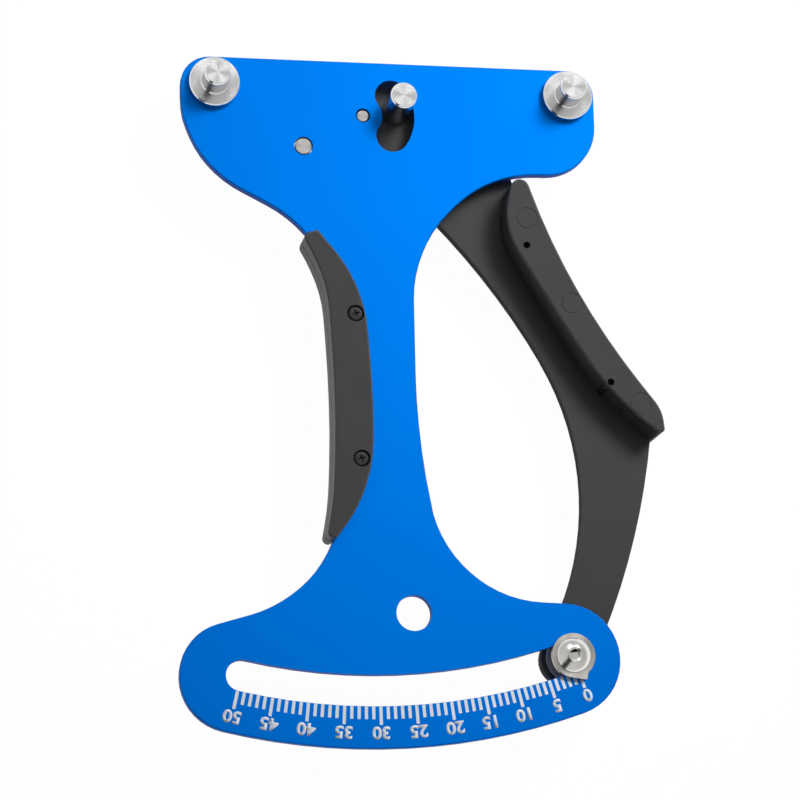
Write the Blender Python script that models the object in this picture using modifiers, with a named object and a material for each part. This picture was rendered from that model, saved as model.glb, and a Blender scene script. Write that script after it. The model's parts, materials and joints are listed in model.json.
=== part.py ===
"""Spoke tension meter for bicycle wheels.

A blue frame plate carries two fixed posts. A black lever turns on a pivot behind the plate and carries
the centre post, a grip and the pointer. A torsion spring pushes the centre post up against the spoke,
and the pointer shows on the scale how far the spoke gives way.

The tool lies on its back: +Z is the side with the scale, +Y is the end with the posts, +X runs from the
left post to the right one, and the origin is on the pivot's axis, at the flat back of the pivot's head.
"""

import math

import bpy
import bmesh
from mathutils import Vector

MM = 0.001

# Clearance between pieces that touch, and how far a facet may stand off its true arc
CLEARANCE = 0.3 * MM
FACET_SAG = 0.04 * MM
TURNED_SIDES = 32
SMALL_SIDES = 20

# The layers along the pivot
PIVOT_HEAD_THICKNESS = 1.8 * MM
LEVER_THICKNESS = 3.0 * MM
LEVER_GAP = 2.0 * MM
PLATE_THICKNESS = 3.0 * MM

# The posts that the spoke runs past
LEFT_POST_X = -40.7 * MM
POST_SPAN = 97.7 * MM
POST_LINE_Y = 7.4 * MM
POST_RADIUS = 3.65 * MM
POST_FLANGE_RADIUS = 6.9 * MM
POST_FLANGE_THICKNESS = 2.1 * MM
POST_RISE = 9.5 * MM
POST_CHAMFER = 0.5 * MM
POST_SCREW_RADIUS = 1.5 * MM
POST_SCREW_HEAD_RADIUS = 3.4 * MM
POST_SCREW_LENGTH = 7.5 * MM

# The scale's slot and the lever's angle, counted from straight below the pivot towards +X
SLOT_RADIUS = 156.95 * MM
SLOT_WIDTH = 8.2 * MM
SLOT_LEFT_ANGLE = math.radians(-12.8)
REST_ANGLE = math.radians(19.7)
TRAVEL = math.radians(32)

# The frame plate's outline: edges first, then the radius of each rounded stretch
TOP_MARGIN = 7.85 * MM
LEFT_MARGIN = 9.0 * MM
RIGHT_MARGIN = 7.8 * MM
SHOULDER_DROP = 22.65 * MM
WAIST_RIGHT_X = 12.54 * MM
WAIST_LEFT_X = -7.8 * MM
WAIST_RIGHT_Y = -0.4575 * SLOT_RADIUS
WAIST_LEFT_Y = -0.4970 * SLOT_RADIUS
WAIST_RADIUS = 222.3 * MM
TOP_RIGHT_CORNER_RADIUS = 7.4 * MM
TOP_LEFT_CORNER_RADIUS = 8.05 * MM
RIGHT_SHOULDER_RADIUS = 14.4 * MM
LEFT_SHOULDER_RADIUS = 29.45 * MM
LEFT_SHOULDER_Y = 3.9 * MM
UPPER_RIGHT_FLARE_RADIUS = 36.05 * MM
UPPER_LEFT_FLARE_RADIUS = 35.7 * MM
UPPER_LEFT_FLARE_Y = -57.4 * MM
LOWER_RIGHT_FLARE_RADIUS = 31.35 * MM
LOWER_LEFT_FLARE_RADIUS = 32.4 * MM
LOWER_RIGHT_FLARE_X = 15.4 * MM
BAR_RIGHT_MARGIN = 23.45 * MM
BAR_LEFT_MARGIN = 18.5 * MM
BAR_OUTER_MARGIN = 15.05 * MM
RIGHT_END_RADIUS = 14.85 * MM
LEFT_END_RADIUS = 14.3 * MM
RIGHT_END_ANGLE = math.radians(19.0)
LEFT_END_ANGLE = math.radians(-13.3)
PLATE_CHAMFER = 0.3 * MM

# Holes in the frame plate
KIDNEY_INNER_MARGIN = 1.2 * MM
KIDNEY_OUTER_MARGIN = 0.4 * MM
KIDNEY_END_MARGIN = math.radians(20)
HANG_HOLE_X = 10.85 * MM
HANG_HOLE_MARGIN = 20.4 * MM
HANG_HOLE_RADIUS = 4.75 * MM

# The lever's outline. Each gentle stretch is a point on the edge, the way it faces and its radius. Below
# the pivot, the lever and both grips are drawn on the slot's radius, so that a longer tool keeps their form.
LEVER_END_ANGLE = math.radians(19.5)
LEVER_END_RADIUS = 7.0 * MM
LEVER_OUTER_POINT = (0.4666 * SLOT_RADIUS, -0.7168 * SLOT_RADIUS)
LEVER_OUTER_FACING = math.radians(-15)
LEVER_OUTER_RADIUS = 1.2392 * SLOT_RADIUS
LEVER_EDGE_INSET = 1.3 * MM
LEVER_CORNER = (27.5 * MM, 0.0)
LEVER_CORNER_RADIUS = 9.0 * MM
LEVER_HEAD_RADIUS = 7.8 * MM
LEVER_POST_BOSS_RADIUS = 9.5 * MM
LEVER_UPPER_BELLY_POINT = (0.2103 * SLOT_RADIUS, -0.2803 * SLOT_RADIUS)
LEVER_UPPER_BELLY_FACING = math.radians(-142.7)
LEVER_UPPER_BELLY_RADIUS = 1.2361 * SLOT_RADIUS
LEVER_LOWER_BELLY_POINT = (0.3670 * SLOT_RADIUS, -0.6563 * SLOT_RADIUS)
LEVER_LOWER_BELLY_FACING = math.radians(-179.2)
LEVER_LOWER_BELLY_RADIUS = 0.4874 * SLOT_RADIUS
LEVER_CHAMFER = 0.2 * MM

# The centre post on the lever
CENTER_POST_RADIUS_FROM_PIVOT = 10.2 * MM
CENTER_POST_ANGLE = math.radians(16.9)
CENTER_POST_RADIUS = 3.65 * MM

# The lever's grip
LEVER_GRIP_TIP = (0.5033 * SLOT_RADIUS, -0.5537 * SLOT_RADIUS)
LEVER_GRIP_TIP_RADIUS = 0.0051 * SLOT_RADIUS
LEVER_GRIP_FOOT = (0.4428 * SLOT_RADIUS, -0.5454 * SLOT_RADIUS)
LEVER_GRIP_FOOT_RADIUS = 0.0644 * SLOT_RADIUS
LEVER_GRIP_BACK_POINT = (0.3823 * SLOT_RADIUS, -0.3441 * SLOT_RADIUS)
LEVER_GRIP_BACK_FACING = math.radians(30)
LEVER_GRIP_BACK_RADIUS = 1.1883 * SLOT_RADIUS
LEVER_GRIP_TOP = (0.2686 * SLOT_RADIUS, -0.1306 * SLOT_RADIUS)
LEVER_GRIP_TOP_RADIUS = 0.0162 * SLOT_RADIUS
LEVER_GRIP_SHOULDER_POINT = (0.2434 * SLOT_RADIUS, -0.1784 * SLOT_RADIUS)
LEVER_GRIP_SHOULDER_FACING = math.radians(179.1)
LEVER_GRIP_SHOULDER_RADIUS = 0.1268 * SLOT_RADIUS
LEVER_GRIP_FRONT_POINT = (0.3195 * SLOT_RADIUS, -0.3434 * SLOT_RADIUS)
LEVER_GRIP_FRONT_FACING = math.radians(-148.9)
LEVER_GRIP_FRONT_RADIUS = 2.5804 * SLOT_RADIUS
LEVER_GRIP_LOWER_POINT = (0.4278 * SLOT_RADIUS, -0.4992 * SLOT_RADIUS)
LEVER_GRIP_LOWER_FACING = math.radians(-136.8)
LEVER_GRIP_LOWER_RADIUS = 0.4855 * SLOT_RADIUS
LEVER_GRIP_FRONT_HEIGHT = 9.5 * MM
LEVER_GRIP_BACK_HEIGHT = 4.0 * MM
LEVER_GRIP_SCREWS = [(0.2765 * SLOT_RADIUS, -0.2338 * SLOT_RADIUS),
                     (0.4161 * SLOT_RADIUS, -0.4734 * SLOT_RADIUS)]
LEVER_GRIP_PEEP_RADIUS = 0.95 * MM
LEVER_GRIP_PEEP_DEPTH = 2.5 * MM

# The frame's grip
FRAME_GRIP_TIP = (-0.0682 * SLOT_RADIUS, -0.7391 * SLOT_RADIUS)
FRAME_GRIP_TIP_RADIUS = 0.0096 * SLOT_RADIUS
FRAME_GRIP_INNER_LOW_POINT = (-0.0178 * SLOT_RADIUS, -0.6760 * SLOT_RADIUS)
FRAME_GRIP_INNER_LOW_FACING = math.radians(-22.9)
FRAME_GRIP_INNER_LOW_RADIUS = 0.2447 * SLOT_RADIUS
FRAME_GRIP_INNER_MID_POINT = (0.0022 * SLOT_RADIUS, -0.5097 * SLOT_RADIUS)
FRAME_GRIP_INNER_MID_FACING = math.radians(0.9)
FRAME_GRIP_INNER_MID_RADIUS = 1.8477 * SLOT_RADIUS
FRAME_GRIP_INNER_UP_POINT = (-0.0252 * SLOT_RADIUS, -0.3039 * SLOT_RADIUS)
FRAME_GRIP_INNER_UP_FACING = math.radians(24.4)
FRAME_GRIP_INNER_UP_RADIUS = 0.2536 * SLOT_RADIUS
FRAME_GRIP_TOP = (-0.0946 * SLOT_RADIUS, -0.2316 * SLOT_RADIUS)
FRAME_GRIP_TOP_RADIUS = 0.0134 * SLOT_RADIUS
FRAME_GRIP_OUTER_UP_POINT = (-0.0726 * SLOT_RADIUS, -0.3179 * SLOT_RADIUS)
FRAME_GRIP_OUTER_UP_FACING = math.radians(-169.6)
FRAME_GRIP_OUTER_UP_RADIUS = 0.2663 * SLOT_RADIUS
FRAME_GRIP_OUTER_MID_POINT = (-0.0628 * SLOT_RADIUS, -0.5288 * SLOT_RADIUS)
FRAME_GRIP_OUTER_MID_RADIUS = 2.5486 * SLOT_RADIUS
FRAME_GRIP_OUTER_LOW_POINT = (-0.0669 * SLOT_RADIUS, -0.6690 * SLOT_RADIUS)
FRAME_GRIP_OUTER_LOW_FACING = math.radians(174.7)
FRAME_GRIP_OUTER_LOW_RADIUS = 0.5008 * SLOT_RADIUS
FRAME_GRIP_HEIGHT = 4.0 * MM
FRAME_GRIP_SCREWS = [(-0.0236 * SLOT_RADIUS, -0.3619 * SLOT_RADIUS),
                     (-0.0185 * SLOT_RADIUS, -0.6129 * SLOT_RADIUS)]
GRIP_CHAMFER = 0.45 * MM

# The screws of both grips
GRIP_SCREW_RADIUS = 1.3 * MM
GRIP_SCREW_HEAD_RADIUS = 2.0 * MM
GRIP_SCREW_HEAD_HEIGHT = 1.3 * MM
GRIP_SCREW_SINK = 0.35 * MM
GRIP_SCREW_TIP_COVER = 1.4 * MM
CROSS_ARM = 1.3 * MM
CROSS_WIDTH = 0.7 * MM
CROSS_DEPTH = 0.8 * MM
CROSS_TURN = math.radians(20)
HEX_SOCKET_FLATS = 1.8 * MM
HEX_SOCKET_DEPTH = 0.8 * MM

# The pivot
PIVOT_RADIUS = 1.7 * MM
PIVOT_HEAD_RADIUS = 5.5 * MM
PIVOT_RECESS = 0.4 * MM
PIVOT_WASHER_RADIUS = 4.6 * MM
SPRING_BUSH_RADIUS = 4.0 * MM

# The torsion spring and the two pins that hold its legs
SPRING_WIRE = 1.6 * MM
SPRING_FULL_TURNS = 2
SPRING_COIL_RADIUS = 5.3 * MM
SPRING_LEG_OVERHANG = 3.0 * MM
SPRING_STEPS_PER_TURN = 24
ANCHOR_PIN = (-16.45 * MM, -9.3 * MM)
ANCHOR_PIN_RADIUS = 2.3 * MM
SPRING_PIN_STEM_RADIUS = 1.6 * MM
SPRING_PIN_TIP_THICKNESS = 0.8 * MM
LEVER_PIN_RADIUS_FROM_PIVOT = 17.0 * MM
LEVER_PIN_ANGLE = math.radians(-50)

# The pointer on the lever's end
SPACER_RADIUS = 3.8 * MM
POINTER_STANDOFF = 0.6 * MM
POINTER_RADIUS = 5.9 * MM
POINTER_THICKNESS = 1.0 * MM
POINTER_TIP_REACH = 7.2 * MM
POINTER_TIP_RADIUS = 0.4 * MM
POINTER_SCREW_RADIUS = 2.0 * MM
POINTER_SCREW_HEAD_RADIUS = 4.35 * MM
POINTER_SCREW_HEAD_HEIGHT = 2.0 * MM
POINTER_SCREW_HEAD_RIM = 0.3 * MM
POINTER_SOCKET_FLATS = 2.5 * MM
POINTER_SOCKET_DEPTH = 1.2 * MM
GLIDE_WASHER_RADIUS = 6.1 * MM
BACK_WASHER_RADIUS = 4.5 * MM
BACK_WASHER_THICKNESS = 0.8 * MM
NUT_FLATS = 7.0 * MM
NUT_HEIGHT = 2.2 * MM


# Scene, collections and materials
for old in list(bpy.data.objects):
    bpy.data.objects.remove(old, do_unlink=True)

meter = bpy.data.collections.new("spoke_tension_meter")
cutters = bpy.data.collections.new("cutters")
for collection in (meter, cutters):
    bpy.context.scene.collection.children.link(collection)


def finish_of(name, colour, roughness, metallic):
    material = bpy.data.materials.new(name)
    material.use_nodes = True
    shader = material.node_tree.nodes["Principled BSDF"]
    shader.inputs["Base Color"].default_value = (*colour, 1)
    shader.inputs["Roughness"].default_value = roughness
    shader.inputs["Metallic"].default_value = metallic
    material.diffuse_color = (*colour, 1)
    return material


PAINTED_BLUE = finish_of("painted_blue", (0.0, 0.2, 0.8), 0.35, 0.0)
BLACK_PAINT = finish_of("black_paint", (0.045, 0.045, 0.047), 0.55, 0.0)
GRIP_PLASTIC = finish_of("grip_plastic", (0.055, 0.055, 0.055), 0.65, 0.0)
TURNED_STEEL = finish_of("turned_steel", (0.72, 0.72, 0.73), 0.28, 1.0)
SPRING_STEEL = finish_of("spring_steel", (0.5, 0.5, 0.52), 0.3, 1.0)
BLACK_SCREW = finish_of("black_screw", (0.03, 0.03, 0.03), 0.35, 0.6)
NYLON = finish_of("nylon", (0.15, 0.15, 0.2), 0.5, 0.0)


# Flat outlines made of arcs joined by tangents
def below(angle, radius):
    """The point at this radius from the pivot, at an angle from straight below it towards +X."""
    return Vector((radius * math.sin(angle), -radius * math.cos(angle)))


def beside(angle, radius):
    """The point at this radius from the pivot, at an angle from +X."""
    return Vector((radius * math.cos(angle), radius * math.sin(angle)))


def stretch(point, facing, radius):
    """The circle of a gentle stretch of edge through a point that faces the given way."""
    return Vector(point) - radius * Vector((math.cos(facing), math.sin(facing))), radius


def outline(rounds, spare=0.0):
    """Anticlockwise outline over the circles in rounds and the tangents between neighbours.

    A negative radius is a hollow stretch. spare moves the whole outline outwards. A circle that lies
    well inside the one before or after it is passed over, and one that a hollow stretch leaves too
    little room gets smaller.
    """
    circles = [(Vector(centre), radius + spare) for centre, radius in rounds]
    circles = [
        (centre, radius) for i, (centre, radius) in enumerate(circles)
        if not any(other_radius > radius > 0 and (other - centre).length < other_radius - 2 * radius
                   for other, other_radius in (circles[i - 1], circles[(i + 1) % len(circles)]))
    ]
    for i, (centre, radius) in enumerate(circles):
        for other, other_radius in (circles[i - 1], circles[(i + 1) % len(circles)]):
            if radius > 0 > other_radius:
                radius = min(radius, max(FACET_SAG, (other - centre).length + other_radius))
        circles[i] = (centre, radius)
    facing = []
    for (here, radius), (there, next_radius) in zip(circles, circles[1:] + circles[:1]):
        span = there - here
        lean = max(-1.0, min(1.0, (radius - next_radius) / max(span.length, FACET_SAG)))
        facing.append(math.atan2(span.y, span.x) - math.acos(lean))
    points = []
    for i, (centre, radius) in enumerate(circles):
        sweep = (facing[i] - facing[i - 1] + math.pi) % math.tau - math.pi
        if radius > 0 and sweep < -0.5:
            sweep += math.tau
        if radius < 0 and sweep > 0.5:
            sweep -= math.tau
        facet = 2 * math.acos(1 - min(0.5, FACET_SAG / abs(radius)))
        steps = max(1, math.ceil(abs(sweep) / facet))
        for step in range(steps + 1):
            angle = facing[i - 1] + sweep * step / steps
            point = centre + radius * Vector((math.cos(angle), math.sin(angle)))
            if not points or (point - points[-1]).length > FACET_SAG:
                points.append(point)
    if (points[0] - points[-1]).length < FACET_SAG:
        points.pop()
    return points


def box(low_x, low_y, high_x, high_y):
    return [Vector(corner) for corner in ((low_x, low_y), (high_x, low_y), (high_x, high_y), (low_x, high_y))]


# Solids
def place(name, mesh, collection, material=None):
    piece = bpy.data.objects.new(name, mesh)
    collection.objects.link(piece)
    if material:
        mesh.materials.clear()
        mesh.materials.append(material)
    else:
        piece.hide_render = True
        piece.display_type = "WIRE"
    return piece


def mesh_of(curve, lift=0.0):
    """The welded mesh of a filled or beveled curve, moved up by lift."""
    drawn = bpy.data.objects.new("drawn_curve", curve)
    bpy.context.scene.collection.objects.link(drawn)
    bpy.context.view_layer.update()
    mesh = bpy.data.meshes.new_from_object(drawn.evaluated_get(bpy.context.evaluated_depsgraph_get()))
    bpy.data.objects.remove(drawn)
    bpy.data.curves.remove(curve)
    welded = bmesh.new()
    welded.from_mesh(mesh)
    bmesh.ops.remove_doubles(welded, verts=welded.verts, dist=0.01 * MM)
    bmesh.ops.translate(welded, verts=welded.verts, vec=(0, 0, lift))
    welded.to_mesh(mesh)
    welded.free()
    return mesh


def flat_solid(name, points, bottom, top, collection, material=None, chamfer=0.0):
    """A flat outline given its thickness, with chamfered edges."""
    curve = bpy.data.curves.new(name, "CURVE")
    curve.dimensions = "2D"
    curve.fill_mode = "BOTH"
    curve.extrude = (top - bottom) / 2 - chamfer
    curve.bevel_depth = chamfer
    curve.bevel_resolution = 0
    curve.offset = -chamfer
    spline = curve.splines.new("POLY")
    spline.points.add(len(points) - 1)
    for control, point in zip(spline.points, points):
        control.co = (point.x, point.y, 0, 1)
    spline.use_cyclic_u = True
    return place(name, mesh_of(curve, (bottom + top) / 2), collection, material)


def turned(name, profile, centre, collection, material=None, sides=TURNED_SIDES):
    """A turned piece: the profile's (radius, height) points run from its top down its outer side."""
    loop = profile[0] == profile[-1]
    corners = profile[:-1] if loop else profile
    edges = [(i, i + 1) for i in range(len(corners) - 1)]
    if loop:
        edges.append((len(corners) - 1, 0))
    mesh = bpy.data.meshes.new(name)
    mesh.from_pydata([(radius, 0, height) for radius, height in corners], edges, [])
    piece = place(name, mesh, collection, material)
    piece.location = (centre[0], centre[1], 0)
    screw = piece.modifiers.new("turned", "SCREW")
    screw.steps = sides
    screw.render_steps = sides
    screw.use_merge_vertices = True
    screw.merge_threshold = 0.00001
    return piece


def ring(name, inner, outer, bottom, top, centre, material, sides=TURNED_SIDES):
    profile = [(inner, top), (outer, top), (outer, bottom), (inner, bottom), (inner, top)]
    return turned(name, profile, centre, meter, material, sides)


def rod(name, radius, bottom, top, centre, collection, material=None, sides=SMALL_SIDES):
    profile = [(0, top), (radius, top), (radius, bottom), (0, bottom)]
    return turned(name, profile, centre, collection, material, sides)


def drill(name, radius, bottom, top, centre, sides=SMALL_SIDES):
    return rod(name + "_cutter", radius, bottom, top, centre, cutters, sides=sides)


def hexagon(name, flats, bottom, top, centre, collection, material=None):
    corner = flats / 2 / math.cos(math.pi / 6)
    mesh = bpy.data.meshes.new(name)
    bar = bmesh.new()
    bmesh.ops.create_cone(bar, cap_ends=True, segments=6, radius1=corner, radius2=corner, depth=top - bottom)
    bmesh.ops.translate(bar, verts=bar.verts, vec=(centre[0], centre[1], (top + bottom) / 2))
    bar.to_mesh(mesh)
    bar.free()
    return place(name, mesh, collection, material)


def cross_recess(name, centre, face):
    """The cutter of a cross recess, as deep below the face as it stands above it."""
    arm, half = CROSS_ARM, CROSS_WIDTH / 2
    corners = [(arm, -half), (arm, half), (half, half), (half, arm), (-half, arm), (-half, half),
               (-arm, half), (-arm, -half), (-half, -half), (-half, -arm), (half, -arm), (half, -half)]
    count = len(corners)
    low, high = face - CROSS_DEPTH, face + CROSS_DEPTH
    mesh = bpy.data.meshes.new(name)
    mesh.from_pydata(
        [(x, y, low) for x, y in corners] + [(x, y, high) for x, y in corners], [],
        [tuple(reversed(range(count))), tuple(range(count, 2 * count))]
        + [(i, (i + 1) % count, (i + 1) % count + count, i + count) for i in range(count)])
    cutter = place(name + "_cutter", mesh, cutters)
    cutter.location = (centre[0], centre[1], 0)
    cutter.rotation_euler = (0, 0, CROSS_TURN)
    return cutter


def stepped_drill(name, centre, head_end, step, shank_end):
    """The cutter of a screw's hole, wide from head_end to step and narrow from there to shank_end."""
    wide = GRIP_SCREW_HEAD_RADIUS + CLEARANCE
    narrow = GRIP_SCREW_RADIUS + CLEARANCE
    profile = [(0, head_end), (wide, head_end), (wide, step), (narrow, step), (narrow, shank_end), (0, shank_end)]
    if head_end < shank_end:
        profile.reverse()
    return turned(name + "_cutter", profile, centre, cutters, sides=SMALL_SIDES)


def cut(piece, *tools):
    for tool in tools:
        boolean = piece.modifiers.new(tool.name, "BOOLEAN")
        boolean.operation = "DIFFERENCE"
        boolean.solver = "EXACT"
        boolean.object = tool


# Places that several pieces share
pivot = Vector((0, 0))
left_post = Vector((LEFT_POST_X, POST_LINE_Y))
right_post = Vector((LEFT_POST_X + POST_SPAN, POST_LINE_Y))
center_post = beside(CENTER_POST_ANGLE, CENTER_POST_RADIUS_FROM_PIVOT)
lever_pin = beside(LEVER_PIN_ANGLE, LEVER_PIN_RADIUS_FROM_PIVOT)
pointer = below(REST_ANGLE, SLOT_RADIUS)

# The spring's legs touch the coil where a line past the side of each pin is tangent to it
leg_side = SPRING_COIL_RADIUS + SPRING_WIRE / 2 + SPRING_PIN_STEM_RADIUS + CLEARANCE
anchor_reach = Vector(ANCHOR_PIN).length
anchor_angle = math.atan2(ANCHOR_PIN[1], ANCHOR_PIN[0])
frame_leg_angle = anchor_angle - math.acos(leg_side / anchor_reach)
lever_leg_angle = LEVER_PIN_ANGLE + math.acos(leg_side / LEVER_PIN_RADIUS_FROM_PIVOT)
spring_wrap = (frame_leg_angle - lever_leg_angle) % math.tau + math.tau * SPRING_FULL_TURNS
spring_rise = spring_wrap / math.tau * (SPRING_WIRE + CLEARANCE)
spring_bottom = PIVOT_HEAD_THICKNESS + CLEARANCE

lever_back = spring_bottom + spring_rise + SPRING_WIRE + CLEARANCE
lever_front = lever_back + LEVER_THICKNESS
plate_back = lever_front + LEVER_GAP
plate_front = plate_back + PLATE_THICKNESS
post_tip = plate_front + POST_RISE
lever_middle = (lever_back + lever_front) / 2
plate_middle = (plate_back + plate_front) / 2

bar_bottom_radius = SLOT_RADIUS + BAR_OUTER_MARGIN
bar_top_right_y = BAR_RIGHT_MARGIN - SLOT_RADIUS
bar_top_left_y = BAR_LEFT_MARGIN - SLOT_RADIUS
hang_hole = (HANG_HOLE_X, HANG_HOLE_MARGIN - SLOT_RADIUS)
plate_top = POST_LINE_Y + TOP_MARGIN
plate_left = LEFT_POST_X - LEFT_MARGIN
plate_right = right_post.x + RIGHT_MARGIN
shoulder_y = POST_LINE_Y - SHOULDER_DROP
kidney_inner = CENTER_POST_RADIUS_FROM_PIVOT - CENTER_POST_RADIUS - KIDNEY_INNER_MARGIN
kidney_outer = CENTER_POST_RADIUS_FROM_PIVOT + CENTER_POST_RADIUS + KIDNEY_OUTER_MARGIN
kidney_middle = (kidney_inner + kidney_outer) / 2
kidney_half = (kidney_outer - kidney_inner) / 2

plate_rounds = [
    (pivot, bar_bottom_radius),
    (below(RIGHT_END_ANGLE, bar_bottom_radius - RIGHT_END_RADIUS), RIGHT_END_RADIUS),
    ((LOWER_RIGHT_FLARE_X + LOWER_RIGHT_FLARE_RADIUS, bar_top_right_y + LOWER_RIGHT_FLARE_RADIUS),
     -LOWER_RIGHT_FLARE_RADIUS),
    stretch((WAIST_RIGHT_X, WAIST_RIGHT_Y), 0, -WAIST_RADIUS),
    ((WAIST_RIGHT_X + UPPER_RIGHT_FLARE_RADIUS, shoulder_y - UPPER_RIGHT_FLARE_RADIUS),
     -UPPER_RIGHT_FLARE_RADIUS),
    ((plate_right - RIGHT_SHOULDER_RADIUS, shoulder_y + RIGHT_SHOULDER_RADIUS), RIGHT_SHOULDER_RADIUS),
    ((plate_right - TOP_RIGHT_CORNER_RADIUS, plate_top - TOP_RIGHT_CORNER_RADIUS), TOP_RIGHT_CORNER_RADIUS),
    ((plate_left + TOP_LEFT_CORNER_RADIUS, plate_top - TOP_LEFT_CORNER_RADIUS), TOP_LEFT_CORNER_RADIUS),
    ((plate_left + LEFT_SHOULDER_RADIUS, LEFT_SHOULDER_Y), LEFT_SHOULDER_RADIUS),
    ((WAIST_LEFT_X - UPPER_LEFT_FLARE_RADIUS, UPPER_LEFT_FLARE_Y), -UPPER_LEFT_FLARE_RADIUS),
    stretch((WAIST_LEFT_X, WAIST_LEFT_Y), math.pi, -WAIST_RADIUS),
    ((WAIST_LEFT_X - LOWER_LEFT_FLARE_RADIUS, bar_top_left_y + LOWER_LEFT_FLARE_RADIUS),
     -LOWER_LEFT_FLARE_RADIUS),
    (below(LEFT_END_ANGLE, bar_bottom_radius - LEFT_END_RADIUS), LEFT_END_RADIUS),
]
slot_rounds = [
    (pivot, SLOT_RADIUS + SLOT_WIDTH / 2),
    (pointer, SLOT_WIDTH / 2),
    (pivot, -(SLOT_RADIUS - SLOT_WIDTH / 2)),
    (below(SLOT_LEFT_ANGLE, SLOT_RADIUS), SLOT_WIDTH / 2),
]
kidney_rounds = [
    (pivot, kidney_outer),
    (beside(CENTER_POST_ANGLE + KIDNEY_END_MARGIN, kidney_middle), kidney_half),
    (pivot, -kidney_inner),
    (beside(CENTER_POST_ANGLE - TRAVEL - KIDNEY_END_MARGIN, kidney_middle), kidney_half),
]
lever_grip_back = stretch(LEVER_GRIP_BACK_POINT, LEVER_GRIP_BACK_FACING, -LEVER_GRIP_BACK_RADIUS)
lever_grip_rounds = [
    (LEVER_GRIP_TIP, LEVER_GRIP_TIP_RADIUS),
    (LEVER_GRIP_FOOT, LEVER_GRIP_FOOT_RADIUS),
    lever_grip_back,
    (LEVER_GRIP_TOP, LEVER_GRIP_TOP_RADIUS),
    stretch(LEVER_GRIP_SHOULDER_POINT, LEVER_GRIP_SHOULDER_FACING, LEVER_GRIP_SHOULDER_RADIUS),
    stretch(LEVER_GRIP_FRONT_POINT, LEVER_GRIP_FRONT_FACING, LEVER_GRIP_FRONT_RADIUS),
    stretch(LEVER_GRIP_LOWER_POINT, LEVER_GRIP_LOWER_FACING, LEVER_GRIP_LOWER_RADIUS),
]
lever_rounds = [
    (below(LEVER_END_ANGLE, SLOT_RADIUS), LEVER_END_RADIUS),
    stretch(LEVER_OUTER_POINT, LEVER_OUTER_FACING, LEVER_OUTER_RADIUS),
    (LEVER_GRIP_FOOT, LEVER_GRIP_FOOT_RADIUS - LEVER_EDGE_INSET),
    (lever_grip_back[0], lever_grip_back[1] - LEVER_EDGE_INSET),
    (LEVER_CORNER, LEVER_CORNER_RADIUS),
    (center_post, LEVER_POST_BOSS_RADIUS),
    (pivot, LEVER_HEAD_RADIUS),
    stretch(LEVER_UPPER_BELLY_POINT, LEVER_UPPER_BELLY_FACING, -LEVER_UPPER_BELLY_RADIUS),
    stretch(LEVER_LOWER_BELLY_POINT, LEVER_LOWER_BELLY_FACING, -LEVER_LOWER_BELLY_RADIUS),
]
frame_grip_rounds = [
    (FRAME_GRIP_TIP, FRAME_GRIP_TIP_RADIUS),
    stretch(FRAME_GRIP_INNER_LOW_POINT, FRAME_GRIP_INNER_LOW_FACING, FRAME_GRIP_INNER_LOW_RADIUS),
    stretch(FRAME_GRIP_INNER_MID_POINT, FRAME_GRIP_INNER_MID_FACING, FRAME_GRIP_INNER_MID_RADIUS),
    stretch(FRAME_GRIP_INNER_UP_POINT, FRAME_GRIP_INNER_UP_FACING, FRAME_GRIP_INNER_UP_RADIUS),
    (FRAME_GRIP_TOP, FRAME_GRIP_TOP_RADIUS),
    stretch(FRAME_GRIP_OUTER_UP_POINT, FRAME_GRIP_OUTER_UP_FACING, -FRAME_GRIP_OUTER_UP_RADIUS),
    stretch(FRAME_GRIP_OUTER_MID_POINT, math.pi, -FRAME_GRIP_OUTER_MID_RADIUS),
    stretch(FRAME_GRIP_OUTER_LOW_POINT, FRAME_GRIP_OUTER_LOW_FACING, -FRAME_GRIP_OUTER_LOW_RADIUS),
]


# Countersunk screws: driven in from the back, heads flush, with a hexagon socket
def countersunk_screw(name, centre, back):
    screw = turned(name, [
        (0, back + POST_SCREW_LENGTH),
        (POST_SCREW_RADIUS, back + POST_SCREW_LENGTH),
        (POST_SCREW_RADIUS, back + POST_SCREW_HEAD_RADIUS - POST_SCREW_RADIUS),
        (POST_SCREW_HEAD_RADIUS, back),
        (0, back),
    ], centre, meter, BLACK_SCREW, SMALL_SIDES)
    cut(screw, hexagon(name + "_socket_cutter", HEX_SOCKET_FLATS, back - HEX_SOCKET_DEPTH,
                       back + HEX_SOCKET_DEPTH, centre, cutters))


def countersink(name, centre, back, front):
    """The cutter of a countersunk hole, its wide mouth at the back."""
    mouth = POST_SCREW_HEAD_RADIUS + CLEARANCE * math.sqrt(2)
    hole = POST_SCREW_RADIUS + CLEARANCE
    return turned(name + "_cutter", [
        (0, front + PLATE_THICKNESS),
        (hole, front + PLATE_THICKNESS),
        (hole, back + mouth - hole),
        (mouth, back),
        (mouth, back - PLATE_THICKNESS),
        (0, back - PLATE_THICKNESS),
    ], centre, cutters, sides=SMALL_SIDES)


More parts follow.
